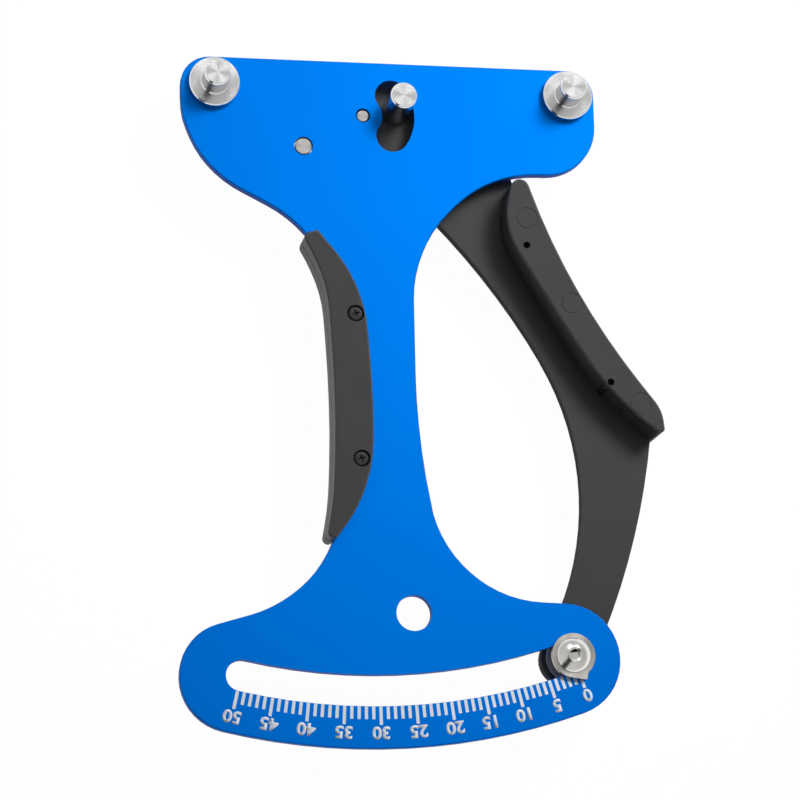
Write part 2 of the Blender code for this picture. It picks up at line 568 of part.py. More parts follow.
# Frame plate: flat steel with the scale's slot, the centre post's slot and a hang hole
def make_frame_plate():
    plate = flat_solid("frame_plate", outline(plate_rounds), plate_back, plate_front, meter, PAINTED_BLUE,
                       PLATE_CHAMFER)
    low, high = plate_back - PLATE_THICKNESS, plate_front + PLATE_THICKNESS
    cut(plate,
        flat_solid("scale_slot_cutter", outline(slot_rounds), low, high, cutters),
        flat_solid("kidney_slot_cutter", outline(kidney_rounds), low, high, cutters),
        drill("hang_hole", HANG_HOLE_RADIUS, low, high, hang_hole, TURNED_SIDES),
        drill("plate_pivot_hole", PIVOT_RADIUS + CLEARANCE, low, high, pivot),
        drill("anchor_hole", ANCHOR_PIN_RADIUS + CLEARANCE, low, high, ANCHOR_PIN),
        countersink("left_post_hole", left_post, plate_back, plate_front),
        countersink("right_post_hole", right_post, plate_back, plate_front))
    for number, centre in enumerate(FRAME_GRIP_SCREWS, 1):
        cut(plate, drill(f"plate_grip_hole_{number}", GRIP_SCREW_RADIUS + CLEARANCE, low, high, centre))


# Lever plate: flat steel from the pivot, behind the grip, down to the pointer
def make_lever_plate():
    lever = flat_solid("lever_plate", outline(lever_rounds), lever_back, lever_front, meter, BLACK_PAINT,
                       LEVER_CHAMFER)
    low, high = lever_back - LEVER_THICKNESS, lever_front + LEVER_THICKNESS
    cut(lever,
        drill("lever_pivot_hole", PIVOT_RADIUS + CLEARANCE, low, high, pivot),
        drill("lever_pin_hole", SPRING_PIN_STEM_RADIUS + CLEARANCE, low, high, lever_pin),
        drill("pointer_screw_hole", POINTER_SCREW_RADIUS + CLEARANCE, low, high, pointer),
        countersink("center_post_hole", center_post, lever_back, lever_front))
    for number, centre in enumerate(LEVER_GRIP_SCREWS, 1):
        cut(lever, drill(f"lever_grip_hole_{number}", GRIP_SCREW_RADIUS + CLEARANCE, low, high, centre))


# Posts: turned steel, each with a blind bore for its screw
def make_posts():
    bore = POST_SCREW_RADIUS + CLEARANCE
    seat = plate_front + CLEARANCE
    flange_top = seat + POST_FLANGE_THICKNESS
    bore_top = plate_back + POST_SCREW_LENGTH + CLEARANCE
    for name, centre in (("left_post", left_post), ("right_post", right_post)):
        turned(name, [
            (0, post_tip),
            (POST_RADIUS - POST_CHAMFER, post_tip),
            (POST_RADIUS, post_tip - POST_CHAMFER),
            (POST_RADIUS, flange_top),
            (POST_FLANGE_RADIUS - POST_CHAMFER, flange_top),
            (POST_FLANGE_RADIUS, flange_top - POST_CHAMFER),
            (POST_FLANGE_RADIUS, seat),
            (bore, seat),
            (bore, bore_top),
            (0, bore_top),
        ], centre, meter, TURNED_STEEL)
    countersunk_screw("left_post_screw", left_post, plate_back)
    countersunk_screw("right_post_screw", right_post, plate_back)

    seat = lever_front + CLEARANCE
    bore_top = lever_back + POST_SCREW_LENGTH + CLEARANCE
    turned("center_post", [
        (0, post_tip),
        (CENTER_POST_RADIUS - POST_CHAMFER, post_tip),
        (CENTER_POST_RADIUS, post_tip - POST_CHAMFER),
        (CENTER_POST_RADIUS, seat),
        (bore, seat),
        (bore, bore_top),
        (0, bore_top),
    ], center_post, meter, TURNED_STEEL)
    countersunk_screw("center_post_screw", center_post, lever_back)


# Grips: each is a front and a back half that close round the edge of their plate
def make_grip_halves(names, rounds, bottom, top, parting, pocket):
    points = outline(rounds)
    spread = 2 * bar_bottom_radius
    field = box(-spread, -spread, spread, spread)
    gap = CLEARANCE / 2
    front = flat_solid(names[0], points, parting - 2 * GRIP_CHAMFER, top, meter, GRIP_PLASTIC, GRIP_CHAMFER)
    cut(front, flat_solid(names[0] + "_trim_cutter", field, bottom, parting + gap, cutters), pocket)
    back = flat_solid(names[1], points, bottom, parting + 2 * GRIP_CHAMFER, meter, GRIP_PLASTIC, GRIP_CHAMFER)
    cut(back, flat_solid(names[1] + "_trim_cutter", field, parting - gap, top, cutters), pocket)
    return front, back


def make_frame_grip():
    top = plate_front + FRAME_GRIP_HEIGHT
    bottom = plate_back - FRAME_GRIP_HEIGHT
    pocket = flat_solid("frame_grip_pocket_cutter", outline(plate_rounds, CLEARANCE),
                        plate_back - CLEARANCE, plate_front + CLEARANCE, cutters)
    front, back = make_grip_halves(("frame_grip_front", "frame_grip_back"), frame_grip_rounds, bottom, top,
                                   plate_middle, pocket)
    head_top = top - GRIP_SCREW_SINK
    head_bottom = head_top - GRIP_SCREW_HEAD_HEIGHT
    tip = bottom + GRIP_SCREW_TIP_COVER
    bore = GRIP_SCREW_RADIUS + CLEARANCE
    for number, centre in enumerate(FRAME_GRIP_SCREWS, 1):
        cut(front, stepped_drill(f"frame_grip_front_hole_{number}", centre, top + CLEARANCE,
                                 head_bottom - CLEARANCE, plate_back))
        cut(back, drill(f"frame_grip_back_hole_{number}", bore, tip - CLEARANCE, plate_front, centre))
        screw = turned(f"frame_grip_screw_{number}", [
            (0, head_top),
            (GRIP_SCREW_HEAD_RADIUS, head_top),
            (GRIP_SCREW_HEAD_RADIUS, head_bottom),
            (GRIP_SCREW_RADIUS, head_bottom),
            (GRIP_SCREW_RADIUS, tip),
            (0, tip),
        ], centre, meter, BLACK_SCREW, SMALL_SIDES)
        cut(screw, cross_recess(f"frame_grip_cross_{number}", centre, head_top))


def make_lever_grip():
    top = lever_front + LEVER_GRIP_FRONT_HEIGHT
    bottom = lever_back - LEVER_GRIP_BACK_HEIGHT
    pocket = flat_solid("lever_grip_pocket_cutter", outline(lever_rounds, CLEARANCE),
                        lever_back - CLEARANCE, lever_front + CLEARANCE, cutters)
    front, back = make_grip_halves(("lever_grip_front", "lever_grip_back"), lever_grip_rounds, bottom, top,
                                   lever_middle, pocket)
    head_bottom = bottom + GRIP_SCREW_SINK
    head_top = head_bottom + GRIP_SCREW_HEAD_HEIGHT
    tip = top - LEVER_GRIP_PEEP_DEPTH - CLEARANCE
    bore = GRIP_SCREW_RADIUS + CLEARANCE
    for number, centre in enumerate(LEVER_GRIP_SCREWS, 1):
        cut(back, stepped_drill(f"lever_grip_back_hole_{number}", centre, bottom - CLEARANCE,
                                head_top + CLEARANCE, lever_front))
        cut(front, turned(f"lever_grip_front_hole_{number}_cutter", [
            (0, top + CLEARANCE),
            (LEVER_GRIP_PEEP_RADIUS, top + CLEARANCE),
            (LEVER_GRIP_PEEP_RADIUS, tip + CLEARANCE),
            (bore, tip + CLEARANCE),
            (bore, lever_back),
            (0, lever_back),
        ], centre, cutters, sides=SMALL_SIDES))
        screw = turned(f"lever_grip_screw_{number}", [
            (0, tip),
            (GRIP_SCREW_RADIUS, tip),
            (GRIP_SCREW_RADIUS, head_top),
            (GRIP_SCREW_HEAD_RADIUS, head_top),
            (GRIP_SCREW_HEAD_RADIUS, head_bottom),
            (0, head_bottom),
        ], centre, meter, BLACK_SCREW, SMALL_SIDES)
        cut(screw, cross_recess(f"lever_grip_cross_{number}", centre, head_bottom))


# Pivot: a headed pin from the back, a bush inside the spring and a washer between lever and plate
def make_pivot():
    tip = plate_front - PIVOT_RECESS
    turned("pivot_pin", [
        (0, tip),
        (PIVOT_RADIUS, tip),
        (PIVOT_RADIUS, PIVOT_HEAD_THICKNESS),
        (PIVOT_HEAD_RADIUS, PIVOT_HEAD_THICKNESS),
        (PIVOT_HEAD_RADIUS, CLEARANCE),
        (PIVOT_HEAD_RADIUS - CLEARANCE, 0),
        (0, 0),
    ], pivot, meter, TURNED_STEEL)
    bore = PIVOT_RADIUS + CLEARANCE
    ring("spring_bush", bore, SPRING_BUSH_RADIUS, PIVOT_HEAD_THICKNESS + CLEARANCE, lever_back - CLEARANCE,
         pivot, NYLON)
    ring("pivot_washer", bore, PIVOT_WASHER_RADIUS, lever_front + CLEARANCE, plate_back - CLEARANCE,
         pivot, TURNED_STEEL)


# Torsion spring behind the lever, and the pins that its two legs press against
def make_spring():
    low = spring_bottom + SPRING_WIRE / 2
    high = low + spring_rise

    def leg_end(angle, reach, side, height):
        along = math.sqrt(reach ** 2 - leg_side ** 2) + SPRING_LEG_OVERHANG
        end = beside(angle, SPRING_COIL_RADIUS) + beside(angle + side * math.pi / 2, along)
        return (end.x, end.y, height)

    points = [leg_end(frame_leg_angle, anchor_reach, 1, low)]
    steps = math.ceil(spring_wrap / math.tau * SPRING_STEPS_PER_TURN)
    for step in range(steps + 1):
        part = step / steps
        point = beside(frame_leg_angle - spring_wrap * part, SPRING_COIL_RADIUS)
        points.append((point.x, point.y, low + spring_rise * part))
    points.append(leg_end(lever_leg_angle, LEVER_PIN_RADIUS_FROM_PIVOT, -1, high))

    wire = bpy.data.curves.new("torsion_spring", "CURVE")
    wire.dimensions = "3D"
    wire.bevel_depth = SPRING_WIRE / 2
    wire.bevel_resolution = 2
    wire.use_fill_caps = True
    spline = wire.splines.new("POLY")
    spline.points.add(len(points) - 1)
    for control, point in zip(spline.points, points):
        control.co = (*point, 1)
    place("torsion_spring", mesh_of(wire), meter, SPRING_STEEL)


def make_spring_pins():
    anchor_top = plate_front - PIVOT_RECESS / 2
    anchor_tip_top = spring_bottom - CLEARANCE
    turned("spring_anchor_pin", [
        (0, anchor_top),
        (ANCHOR_PIN_RADIUS, anchor_top),
        (ANCHOR_PIN_RADIUS, plate_back),
        (SPRING_PIN_STEM_RADIUS, plate_back),
        (SPRING_PIN_STEM_RADIUS, anchor_tip_top),
        (ANCHOR_PIN_RADIUS, anchor_tip_top),
        (ANCHOR_PIN_RADIUS, anchor_tip_top - SPRING_PIN_TIP_THICKNESS),
        (0, anchor_tip_top - SPRING_PIN_TIP_THICKNESS),
    ], ANCHOR_PIN, meter, TURNED_STEEL, SMALL_SIDES)
    pin_tip_top = spring_bottom + spring_rise - CLEARANCE
    turned("lever_spring_pin", [
        (0, lever_front),
        (SPRING_PIN_STEM_RADIUS, lever_front),
        (SPRING_PIN_STEM_RADIUS, pin_tip_top),
        (ANCHOR_PIN_RADIUS, pin_tip_top),
        (ANCHOR_PIN_RADIUS, pin_tip_top - SPRING_PIN_TIP_THICKNESS),
        (0, pin_tip_top - SPRING_PIN_TIP_THICKNESS),
    ], lever_pin, meter, TURNED_STEEL, SMALL_SIDES)


# Pointer: a drop-shaped plate on a spacer through the slot, held by a button-head screw and a nut
def make_pointer():
    bottom = plate_front + POINTER_STANDOFF
    top = bottom + POINTER_THICKNESS
    tip = below(REST_ANGLE, SLOT_RADIUS + POINTER_TIP_REACH - POINTER_TIP_RADIUS)
    hole = POINTER_SCREW_RADIUS + CLEARANCE
    plate = flat_solid("pointer_plate", outline([(pointer, POINTER_RADIUS), (tip, POINTER_TIP_RADIUS)]),
                       bottom, top, meter, TURNED_STEEL)
    cut(plate, drill("pointer_plate_hole", hole, bottom - CLEARANCE, top + CLEARANCE, pointer))
    ring("pointer_spacer", hole, SPACER_RADIUS, lever_front + CLEARANCE, bottom - CLEARANCE, pointer,
         TURNED_STEEL)
    ring("glide_washer", SPACER_RADIUS + CLEARANCE, GLIDE_WASHER_RADIUS, lever_front + CLEARANCE,
         plate_back - CLEARANCE, pointer, NYLON)

    washer_bottom = lever_back - CLEARANCE - BACK_WASHER_THICKNESS
    nut_bottom = washer_bottom - CLEARANCE - NUT_HEIGHT
    ring("pointer_back_washer", hole, BACK_WASHER_RADIUS, washer_bottom, lever_back - CLEARANCE, pointer,
         TURNED_STEEL)
    nut = hexagon("pointer_nut", NUT_FLATS, nut_bottom, washer_bottom - CLEARANCE, pointer, meter, TURNED_STEEL)
    cut(nut, drill("pointer_nut_hole", hole, nut_bottom - CLEARANCE, lever_back, pointer))

    head_bottom = top + CLEARANCE
    rim_top = head_bottom + POINTER_SCREW_HEAD_RIM
    head_top = head_bottom + POINTER_SCREW_HEAD_HEIGHT
    rise = head_top - rim_top
    ball = (POINTER_SCREW_HEAD_RADIUS ** 2 + rise ** 2) / (2 * rise)
    lean = math.asin(min(1.0, POINTER_SCREW_HEAD_RADIUS / ball))
    dome = [(ball * math.sin(lean * i / 6), head_top - ball * (1 - math.cos(lean * i / 6))) for i in range(6)]
    screw = turned("pointer_screw", dome + [
        (POINTER_SCREW_HEAD_RADIUS, rim_top),
        (POINTER_SCREW_HEAD_RADIUS, head_bottom),
        (POINTER_SCREW_RADIUS, head_bottom),
        (POINTER_SCREW_RADIUS, nut_bottom),
        (0, nut_bottom),
    ], pointer, meter, TURNED_STEEL)
    cut(screw, hexagon("pointer_socket_cutter", POINTER_SOCKET_FLATS, head_top - POINTER_SOCKET_DEPTH,
                       head_top + POINTER_SOCKET_DEPTH, pointer, cutters))


make_frame_plate()
make_lever_plate()
make_posts()
make_frame_grip()
make_lever_grip()
make_pivot()
make_spring()
make_spring_pins()
make_pointer()

# Everything that turns with the lever hangs on an empty on the pivot's axis
hinge = bpy.data.objects.new("lever_hinge", None)
hinge.location = (0, 0, lever_front)
meter.objects.link(hinge)
bpy.context.view_layer.update()
for name in ("lever_plate", "lever_grip_front", "lever_grip_back", "lever_grip_screw_1", "lever_grip_screw_2",
             "center_post", "center_post_screw", "lever_spring_pin", "pointer_plate", "pointer_spacer",
             "glide_washer", "pointer_back_washer", "pointer_nut", "pointer_screw"):
    moving = bpy.data.objects[name]
    moving.parent = hinge
    moving.matrix_parent_inverse = hinge.matrix_world.inverted()
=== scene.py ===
import math

import bmesh
import bpy
from mathutils import Matrix, Vector
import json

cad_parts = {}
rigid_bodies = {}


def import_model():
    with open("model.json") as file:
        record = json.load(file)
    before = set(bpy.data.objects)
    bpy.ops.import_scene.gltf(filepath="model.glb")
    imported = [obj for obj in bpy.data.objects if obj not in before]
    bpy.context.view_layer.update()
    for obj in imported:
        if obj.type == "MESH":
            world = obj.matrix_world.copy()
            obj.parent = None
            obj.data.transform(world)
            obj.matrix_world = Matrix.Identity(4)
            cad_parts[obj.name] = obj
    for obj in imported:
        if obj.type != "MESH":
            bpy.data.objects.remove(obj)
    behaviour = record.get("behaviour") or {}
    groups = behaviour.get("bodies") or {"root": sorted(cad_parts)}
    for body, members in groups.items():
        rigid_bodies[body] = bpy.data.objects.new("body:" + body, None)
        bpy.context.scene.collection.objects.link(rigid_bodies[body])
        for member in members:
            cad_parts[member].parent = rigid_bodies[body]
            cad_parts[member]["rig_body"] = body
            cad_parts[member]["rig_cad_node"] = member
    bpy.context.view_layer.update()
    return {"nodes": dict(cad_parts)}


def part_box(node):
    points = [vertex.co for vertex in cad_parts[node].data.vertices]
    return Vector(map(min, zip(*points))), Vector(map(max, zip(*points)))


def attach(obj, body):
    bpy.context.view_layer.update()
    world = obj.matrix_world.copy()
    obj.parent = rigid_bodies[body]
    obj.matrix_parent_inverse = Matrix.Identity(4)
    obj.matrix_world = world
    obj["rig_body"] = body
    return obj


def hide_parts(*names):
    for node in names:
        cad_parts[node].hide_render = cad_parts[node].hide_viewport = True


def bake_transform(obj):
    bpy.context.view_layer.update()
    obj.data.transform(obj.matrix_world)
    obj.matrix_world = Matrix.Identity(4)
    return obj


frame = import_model()
MM = 0.001


# Camera: a long lens straight above the tool's waist, leaning a little over its lower left corner, so
# that the posts lean up and to the right in the picture.
CAMERA_DISTANCE = 760 * MM
camera_aim = Vector((8.371, -79.366, 16.5)) * MM
camera_back = Vector((-0.18017, -0.23026, 0.95630)).normalized()
camera_across = Vector((0.98345, -0.02302, 0.17974)).normalized()
camera_up = camera_back.cross(camera_across)
camera_axes = Matrix((camera_across, camera_up, camera_back)).transposed().to_4x4()
camera = bpy.data.objects.new("camera", bpy.data.cameras.new("camera"))
camera.data.lens = 128.57
camera.data.sensor_width = 36
camera.data.clip_start = 0.05
camera.matrix_world = Matrix.Translation(camera_aim + CAMERA_DISTANCE * camera_back) @ camera_axes
bpy.context.scene.collection.objects.link(camera)
bpy.context.scene.camera = camera
bpy.context.scene.view_settings.view_transform = "Standard"


# Lamps: a softbox with a grid up on the right, whose beam fades towards the tool's lower left end, and a
# weak one on the left.
def hang_softbox(name, place, aim, width, watts, beam):
    lamp = bpy.data.objects.new(name, bpy.data.lights.new(name, "AREA"))
    lamp.data.shape = "SQUARE"
    lamp.data.size = width
    lamp.data.energy = watts
    lamp.data.spread = math.radians(beam)
    lamp.visible_glossy = False
    lamp.location = place
    lamp.rotation_euler = (Vector(aim) - Vector(place)).to_track_quat("-Z", "Y").to_euler()
    bpy.context.scene.collection.objects.link(lamp)


hang_softbox("key_softbox", (0.31, 0.25, 0.46), (0.060, -0.005, 0.0), 0.30, 0.435, 35)
hang_softbox("fill_softbox", (-0.50, -0.35, 0.60), (0.0, -0.07, 0.0), 0.5, 0.2, 180)


# Room: white for the camera and an even light for matt faces. Steel mirrors it lighter at the lower left,
# with two bright sheets beyond the tool and a pale band round the horizon, and nearly black where the
# photographer stands.
def calculate(tree, operation, *values):
    """A Math node whose inputs are sockets or plain numbers."""
    node = tree.nodes.new("ShaderNodeMath")
    node.operation = operation
    for place, value in zip(node.inputs, values):
        if isinstance(value, bpy.types.NodeSocket):
            tree.links.new(value, place)
        else:
            place.default_value = value
    return node.outputs[0]


def spread(tree, value, low, high, start=0.0, end=1.0):
    """A Map Range node that takes start..end to low..high."""
    node = tree.nodes.new("ShaderNodeMapRange")
    tree.links.new(value, node.inputs["Value"])
    node.inputs["From Min"].default_value = start
    node.inputs["From Max"].default_value = end
    node.inputs["To Min"].default_value = low
    node.inputs["To Max"].default_value = high
    return node.outputs["Result"]


room = bpy.data.worlds.new("white_room")
bpy.context.scene.world = room
room.use_nodes = True
room_tree = room.node_tree
sight = room_tree.nodes.new("ShaderNodeTexCoord")


def towards(direction):
    """How far a look into the room goes the way of this direction, from -1 to 1."""
    along = room_tree.nodes.new("ShaderNodeVectorMath")
    along.operation = "DOT_PRODUCT"
    along.inputs[1].default_value = Vector(direction).normalized()
    room_tree.links.new(sight.outputs["Generated"], along.inputs[0])
    return along.outputs["Value"]


SHEET_GLOW = 3.6
PHOTOGRAPHER_SHADE = 0.04
mirrored_room = spread(room_tree, towards((-0.55, -0.65, 0.45)), 0.42, 0.80, -1.0, 1.0)
for lit in (spread(room_tree, towards((0.355, 0.567, 0.743)), 0.0, SHEET_GLOW, 0.975, 0.992),
            spread(room_tree, towards((-0.078, 0.638, 0.766)), 0.0, SHEET_GLOW, 0.975, 0.992),
            spread(room_tree, towards((0, 0, 1)), 0.9, 0.0, 0.15, 0.40)):
    mirrored_room = calculate(room_tree, "ADD", mirrored_room, lit)
beside_photographer = spread(room_tree, calculate(room_tree, "ABSOLUTE", towards((0.787, -0.617, 0.0))),
                             0.0, 1.0, 0.17, 0.22)
behind_tool = spread(room_tree, towards((-0.617, -0.787, 0.0)), 1.0, 0.0, -0.12, -0.02)
past_photographer = calculate(room_tree, "MAXIMUM", beside_photographer, behind_tool)
mirrored_room = calculate(room_tree, "MULTIPLY", mirrored_room,
                          calculate(room_tree, "MAXIMUM", past_photographer, PHOTOGRAPHER_SHADE))
room_rays = room_tree.nodes.new("ShaderNodeLightPath")
ROOM_LIGHT = 0.105


def choose(tree, share, first, second):
    """A number Mix node between two sockets or plain numbers."""
    node = tree.nodes.new("ShaderNodeMix")
    tree.links.new(share, node.inputs["Factor"])
    for place, value in ((node.inputs[2], first), (node.inputs[3], second)):
        if isinstance(value, bpy.types.NodeSocket):
            tree.links.new(value, place)
        else:
            place.default_value = value
    return node.outputs[0]


room_level = choose(room_tree, room_rays.outputs["Is Glossy Ray"], ROOM_LIGHT, mirrored_room)
seen_room = calculate(room_tree, "MAXIMUM", room_rays.outputs["Is Camera Ray"],
                      room_rays.outputs["Is Transmission Ray"])
room_tree.links.new(choose(room_tree, seen_room, room_level, 1.0),
                    room_tree.nodes["Background"].inputs["Strength"])
room_tree.nodes["Background"].inputs["Color"].default_value = (1.0, 1.0, 1.0, 1)


# Floor: a white sheet that the tool lies on. It is bright where the camera or a gloss sees it and still
# takes a soft shadow.
bpy.ops.object.select_all(action="DESELECT")
bpy.ops.mesh.primitive_grid_add(x_subdivisions=8, y_subdivisions=8, size=6.0, location=(0, -0.07, -0.0002))
floor = bpy.context.object
floor.name = "floor"
bpy.ops.object.transform_apply(location=True, rotation=True, scale=True)
PAPER_GLOW = 1.02
SEEN_GLOW_SHARE = 0.96
paper = bpy.data.materials.new("white_paper")
paper.use_nodes = True
paper_nodes = paper.node_tree.nodes
paper_links = paper.node_tree.links
paper_nodes.remove(paper_nodes["Principled BSDF"])
paper_diffuse = paper_nodes.new("ShaderNodeBsdfDiffuse")
paper_diffuse.inputs["Color"].default_value = (0.86, 0.86, 0.86, 1)
paper_glow = paper_nodes.new("ShaderNodeEmission")
paper_glow.inputs["Strength"].default_value = PAPER_GLOW
paper_rays = paper_nodes.new("ShaderNodeLightPath")
seen_or_gloss = calculate(paper.node_tree, "MAXIMUM", paper_rays.outputs["Is Camera Ray"],
                          paper_rays.outputs["Is Glossy Ray"])
seen_paper = calculate(paper.node_tree, "MAXIMUM", seen_or_gloss, paper_rays.outputs["Is Transmission Ray"])
glow_share = calculate(paper.node_tree, "MULTIPLY", seen_paper, SEEN_GLOW_SHARE)
paper_mix = paper_nodes.new("ShaderNodeMixShader")
paper_links.new(glow_share, paper_mix.inputs["Fac"])
paper_links.new(paper_diffuse.outputs[0], paper_mix.inputs[1])
paper_links.new(paper_glow.outputs[0], paper_mix.inputs[2])
paper_links.new(paper_mix.outputs[0], paper_nodes["Material Output"].inputs["Surface"])
floor.data.materials.append(paper)


# Frame plate: a flat 3 mm plate cut by laser, with the scale's slot, the centre post's kidney-shaped
# slot and the hang hole, its edges broken and then anodised a satin blue.
def only(piece):
    """Makes a piece the only one selected, and the active one."""
    bpy.ops.object.select_all(action="DESELECT")
    piece.select_set(True)
    bpy.context.view_layer.objects.active = piece


def merged_copy(node, name):
    """A copy of a CAD node with its loose triangles welded and its flat faces made whole."""
    only(frame["nodes"][node])
    bpy.ops.object.duplicate()
    piece = bpy.context.object
    piece.name = name
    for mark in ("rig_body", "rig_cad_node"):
        if mark in piece:
            del piece[mark]
    bpy.ops.object.parent_clear(type="CLEAR")
    piece.data.materials.clear()
    bpy.ops.object.mode_set(mode="EDIT")
    bpy.ops.mesh.select_all(action="SELECT")
    bpy.ops.mesh.remove_doubles(threshold=0.002 * MM)
    bpy.ops.mesh.dissolve_limited(angle_limit=math.radians(0.5))
    bpy.ops.object.mode_set(mode="OBJECT")
    if piece.data.has_custom_normals:
        bpy.ops.mesh.customdata_custom_splitnormals_clear()
    return piece


def move_corner(piece, old, new):
    """Moves an outline's corner, on every level, from one X and Y in millimetres to another."""
    for vertex in piece.data.vertices:
        if math.dist((vertex.co.x / MM, vertex.co.y / MM), old) < 0.03:
            vertex.co.x = new[0] * MM
            vertex.co.y = new[1] * MM


def ease_edge(piece, on_edge, steps):
    """Moves the corners of one edge along X, by a shift that follows (Y, shift) steps in millimetres."""
    for vertex in piece.data.vertices:
        x, y = vertex.co.x / MM, vertex.co.y / MM
        if not on_edge(x, y):
            continue
        for (high, high_shift), (low, low_shift) in zip(steps, steps[1:]):
            if low <= y < high:
                share = (high - y) / (high - low)
                vertex.co.x += (high_shift + (low_shift - high_shift) * share) * MM


def shade_evenly(piece):
    """Shades gentle bends smooth and keeps flat faces flat, on the one piece that is selected."""
    bpy.ops.object.shade_smooth_by_angle(angle=math.radians(32))
    levelling = piece.modifiers.new("levelling", "WEIGHTED_NORMAL")
    levelling.keep_sharp = True
    bpy.ops.object.modifier_apply(modifier=levelling.name)


def soften(piece, width, segments=2):
    """Rounds every sharp edge of a piece by this width and shades its gentle bends smooth."""
    only(piece)
    rounding = piece.modifiers.new("rounding", "BEVEL")
    rounding.width = width
    rounding.segments = segments
    rounding.limit_method = "ANGLE"
    rounding.angle_limit = math.radians(28)
    bpy.ops.object.modifier_apply(modifier=rounding.name)
    shade_evenly(piece)


def fit(piece, body, finish, slot, *nodes):
    """Gives a finished piece its material and its body, and hides the CAD nodes that it stands for."""
    piece.data.materials.clear()
    piece.data.materials.append(finish)
    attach(piece, body)
    if nodes:
        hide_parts(*nodes)


def new_effect(name, inputs, outputs):
    """An empty shader node group with named inputs and outputs."""
    group = bpy.data.node_groups.new(name, "ShaderNodeTree")
    for label, kind, value in inputs:
        socket = group.interface.new_socket(name=label, in_out="INPUT", socket_type=kind)
        if value is not None:
            socket.default_value = value
    for label, kind in outputs:
        group.interface.new_socket(name=label, in_out="OUTPUT", socket_type=kind)
    return group, group.nodes.new("NodeGroupInput"), group.nodes.new("NodeGroupOutput")


def new_finish(name, colour, roughness, metallic=0.0):
    """A material with its plain values on the shader's own sockets."""
    finish = bpy.data.materials.new(name)
    finish.use_nodes = True
    shader = finish.node_tree.nodes["Principled BSDF"]
    shader.inputs["Base Color"].default_value = (*colour, 1)
    shader.inputs["Roughness"].default_value = roughness
    shader.inputs["Metallic"].default_value = metallic
    return finish, finish.node_tree, shader


def add_effect(tree, group, **values):
    """Places an effect in a material, with its own values."""
    node = tree.nodes.new("ShaderNodeGroup")
    node.node_tree = group
    for label, value in values.items():
        node.inputs[label.replace("_", " ")].default_value = value
    return node


def blend_colours(tree, share, first, second):
    """A colour Mix node whose two colours are sockets or plain values."""
    node = tree.nodes.new("ShaderNodeMix")
    node.data_type = "RGBA"
    tree.links.new(share, node.inputs["Factor"])
    for place, value in ((node.inputs[6], first), (node.inputs[7], second)):
        if isinstance(value, bpy.types.NodeSocket):
            tree.links.new(value, place)
        else:
            place.default_value = (*value, 1)
    return node.outputs[2]


def raise_bump(tree, shader, height, depth, strength=1.0):
    """Feeds a height into the shader's normal, with its depth in metres."""
    node = tree.nodes.new("ShaderNodeBump")
    node.inputs["Strength"].default_value = strength
    node.inputs["Distance"].default_value = depth
    tree.links.new(height, node.inputs["Height"])
    tree.links.new(node.outputs["Normal"], shader.inputs["Normal"])


# Surface grain, for every painted, anodised or moulded face: fine bumps and slow patches
grain, grain_in, grain_out = new_effect(
    "surface_grain",
    [("Grain Size", "NodeSocketFloat", 0.3), ("Patch Size", "NodeSocketFloat", 20.0)],
    [("Height", "NodeSocketFloat"), ("Patches", "NodeSocketFloat")])
grain_place = grain.nodes.new("ShaderNodeTexCoord")
for size_socket, output, detail in (("Grain Size", "Height", 2.0), ("Patch Size", "Patches", 3.0)):
    cells = grain.nodes.new("ShaderNodeTexNoise")
    cells.inputs["Detail"].default_value = detail
    grain.links.new(grain_place.outputs["Object"], cells.inputs["Vector"])
    grain.links.new(calculate(grain, "DIVIDE", 1000.0, grain_in.outputs[size_socket]), cells.inputs["Scale"])
    grain.links.new(cells.outputs["Fac"], grain_out.inputs[output])

# Handling wear: long thin scuffs that run two ways, and masks of the broken edges and the upright walls
wear, wear_in, wear_out = new_effect(
    "wear_and_painted_shade_masks",
    [("Scuff Size", "NodeSocketFloat", 9.0), ("Scuff Amount", "NodeSocketFloat", 0.5)],
    [("Scuffs", "NodeSocketFloat"), ("Walls", "NodeSocketFloat"), ("Broken Edges", "NodeSocketFloat")])
wear_place = wear.nodes.new("ShaderNodeTexCoord")
scuff_masks = []
for turn in (0.5, -0.9):
    stretch = wear.nodes.new("ShaderNodeMapping")
    stretch.inputs["Rotation"].default_value = (0, 0, turn)
    stretch.inputs["Scale"].default_value = (1.0, 30.0, 1.0)
    wear.links.new(wear_place.outputs["Object"], stretch.inputs["Vector"])
    streaks = wear.nodes.new("ShaderNodeTexNoise")
    streaks.inputs["Detail"].default_value = 1.0
    wear.links.new(stretch.outputs["Vector"], streaks.inputs["Vector"])
    wear.links.new(calculate(wear, "DIVIDE", 1000.0, wear_in.outputs["Scuff Size"]), streaks.inputs["Scale"])
    scuff_masks.append(spread(wear, streaks.outputs["Fac"], 0.0, 1.0, 0.70, 0.78))
both_scuffs = calculate(wear, "MAXIMUM", *scuff_masks)
wear.links.new(calculate(wear, "MULTIPLY", both_scuffs, wear_in.outputs["Scuff Amount"]),
               wear_out.inputs["Scuffs"])
# The two masks go by how upright each face is; through them several materials paint light and shade on edges
# and walls
facing = wear.nodes.new("ShaderNodeSeparateXYZ")
wear.links.new(wear_place.outputs["Normal"], facing.inputs[0])
upright = calculate(wear, "ABSOLUTE", facing.outputs["Z"])
wear.links.new(spread(wear, upright, 1.0, 0.0, 0.15, 0.5), wear_out.inputs["Walls"])
wear.links.new(calculate(wear, "MULTIPLY", spread(wear, upright, 0.0, 1.0, 0.3, 0.6),
                         spread(wear, upright, 1.0, 0.0, 0.85, 0.97)), wear_out.inputs["Broken Edges"])

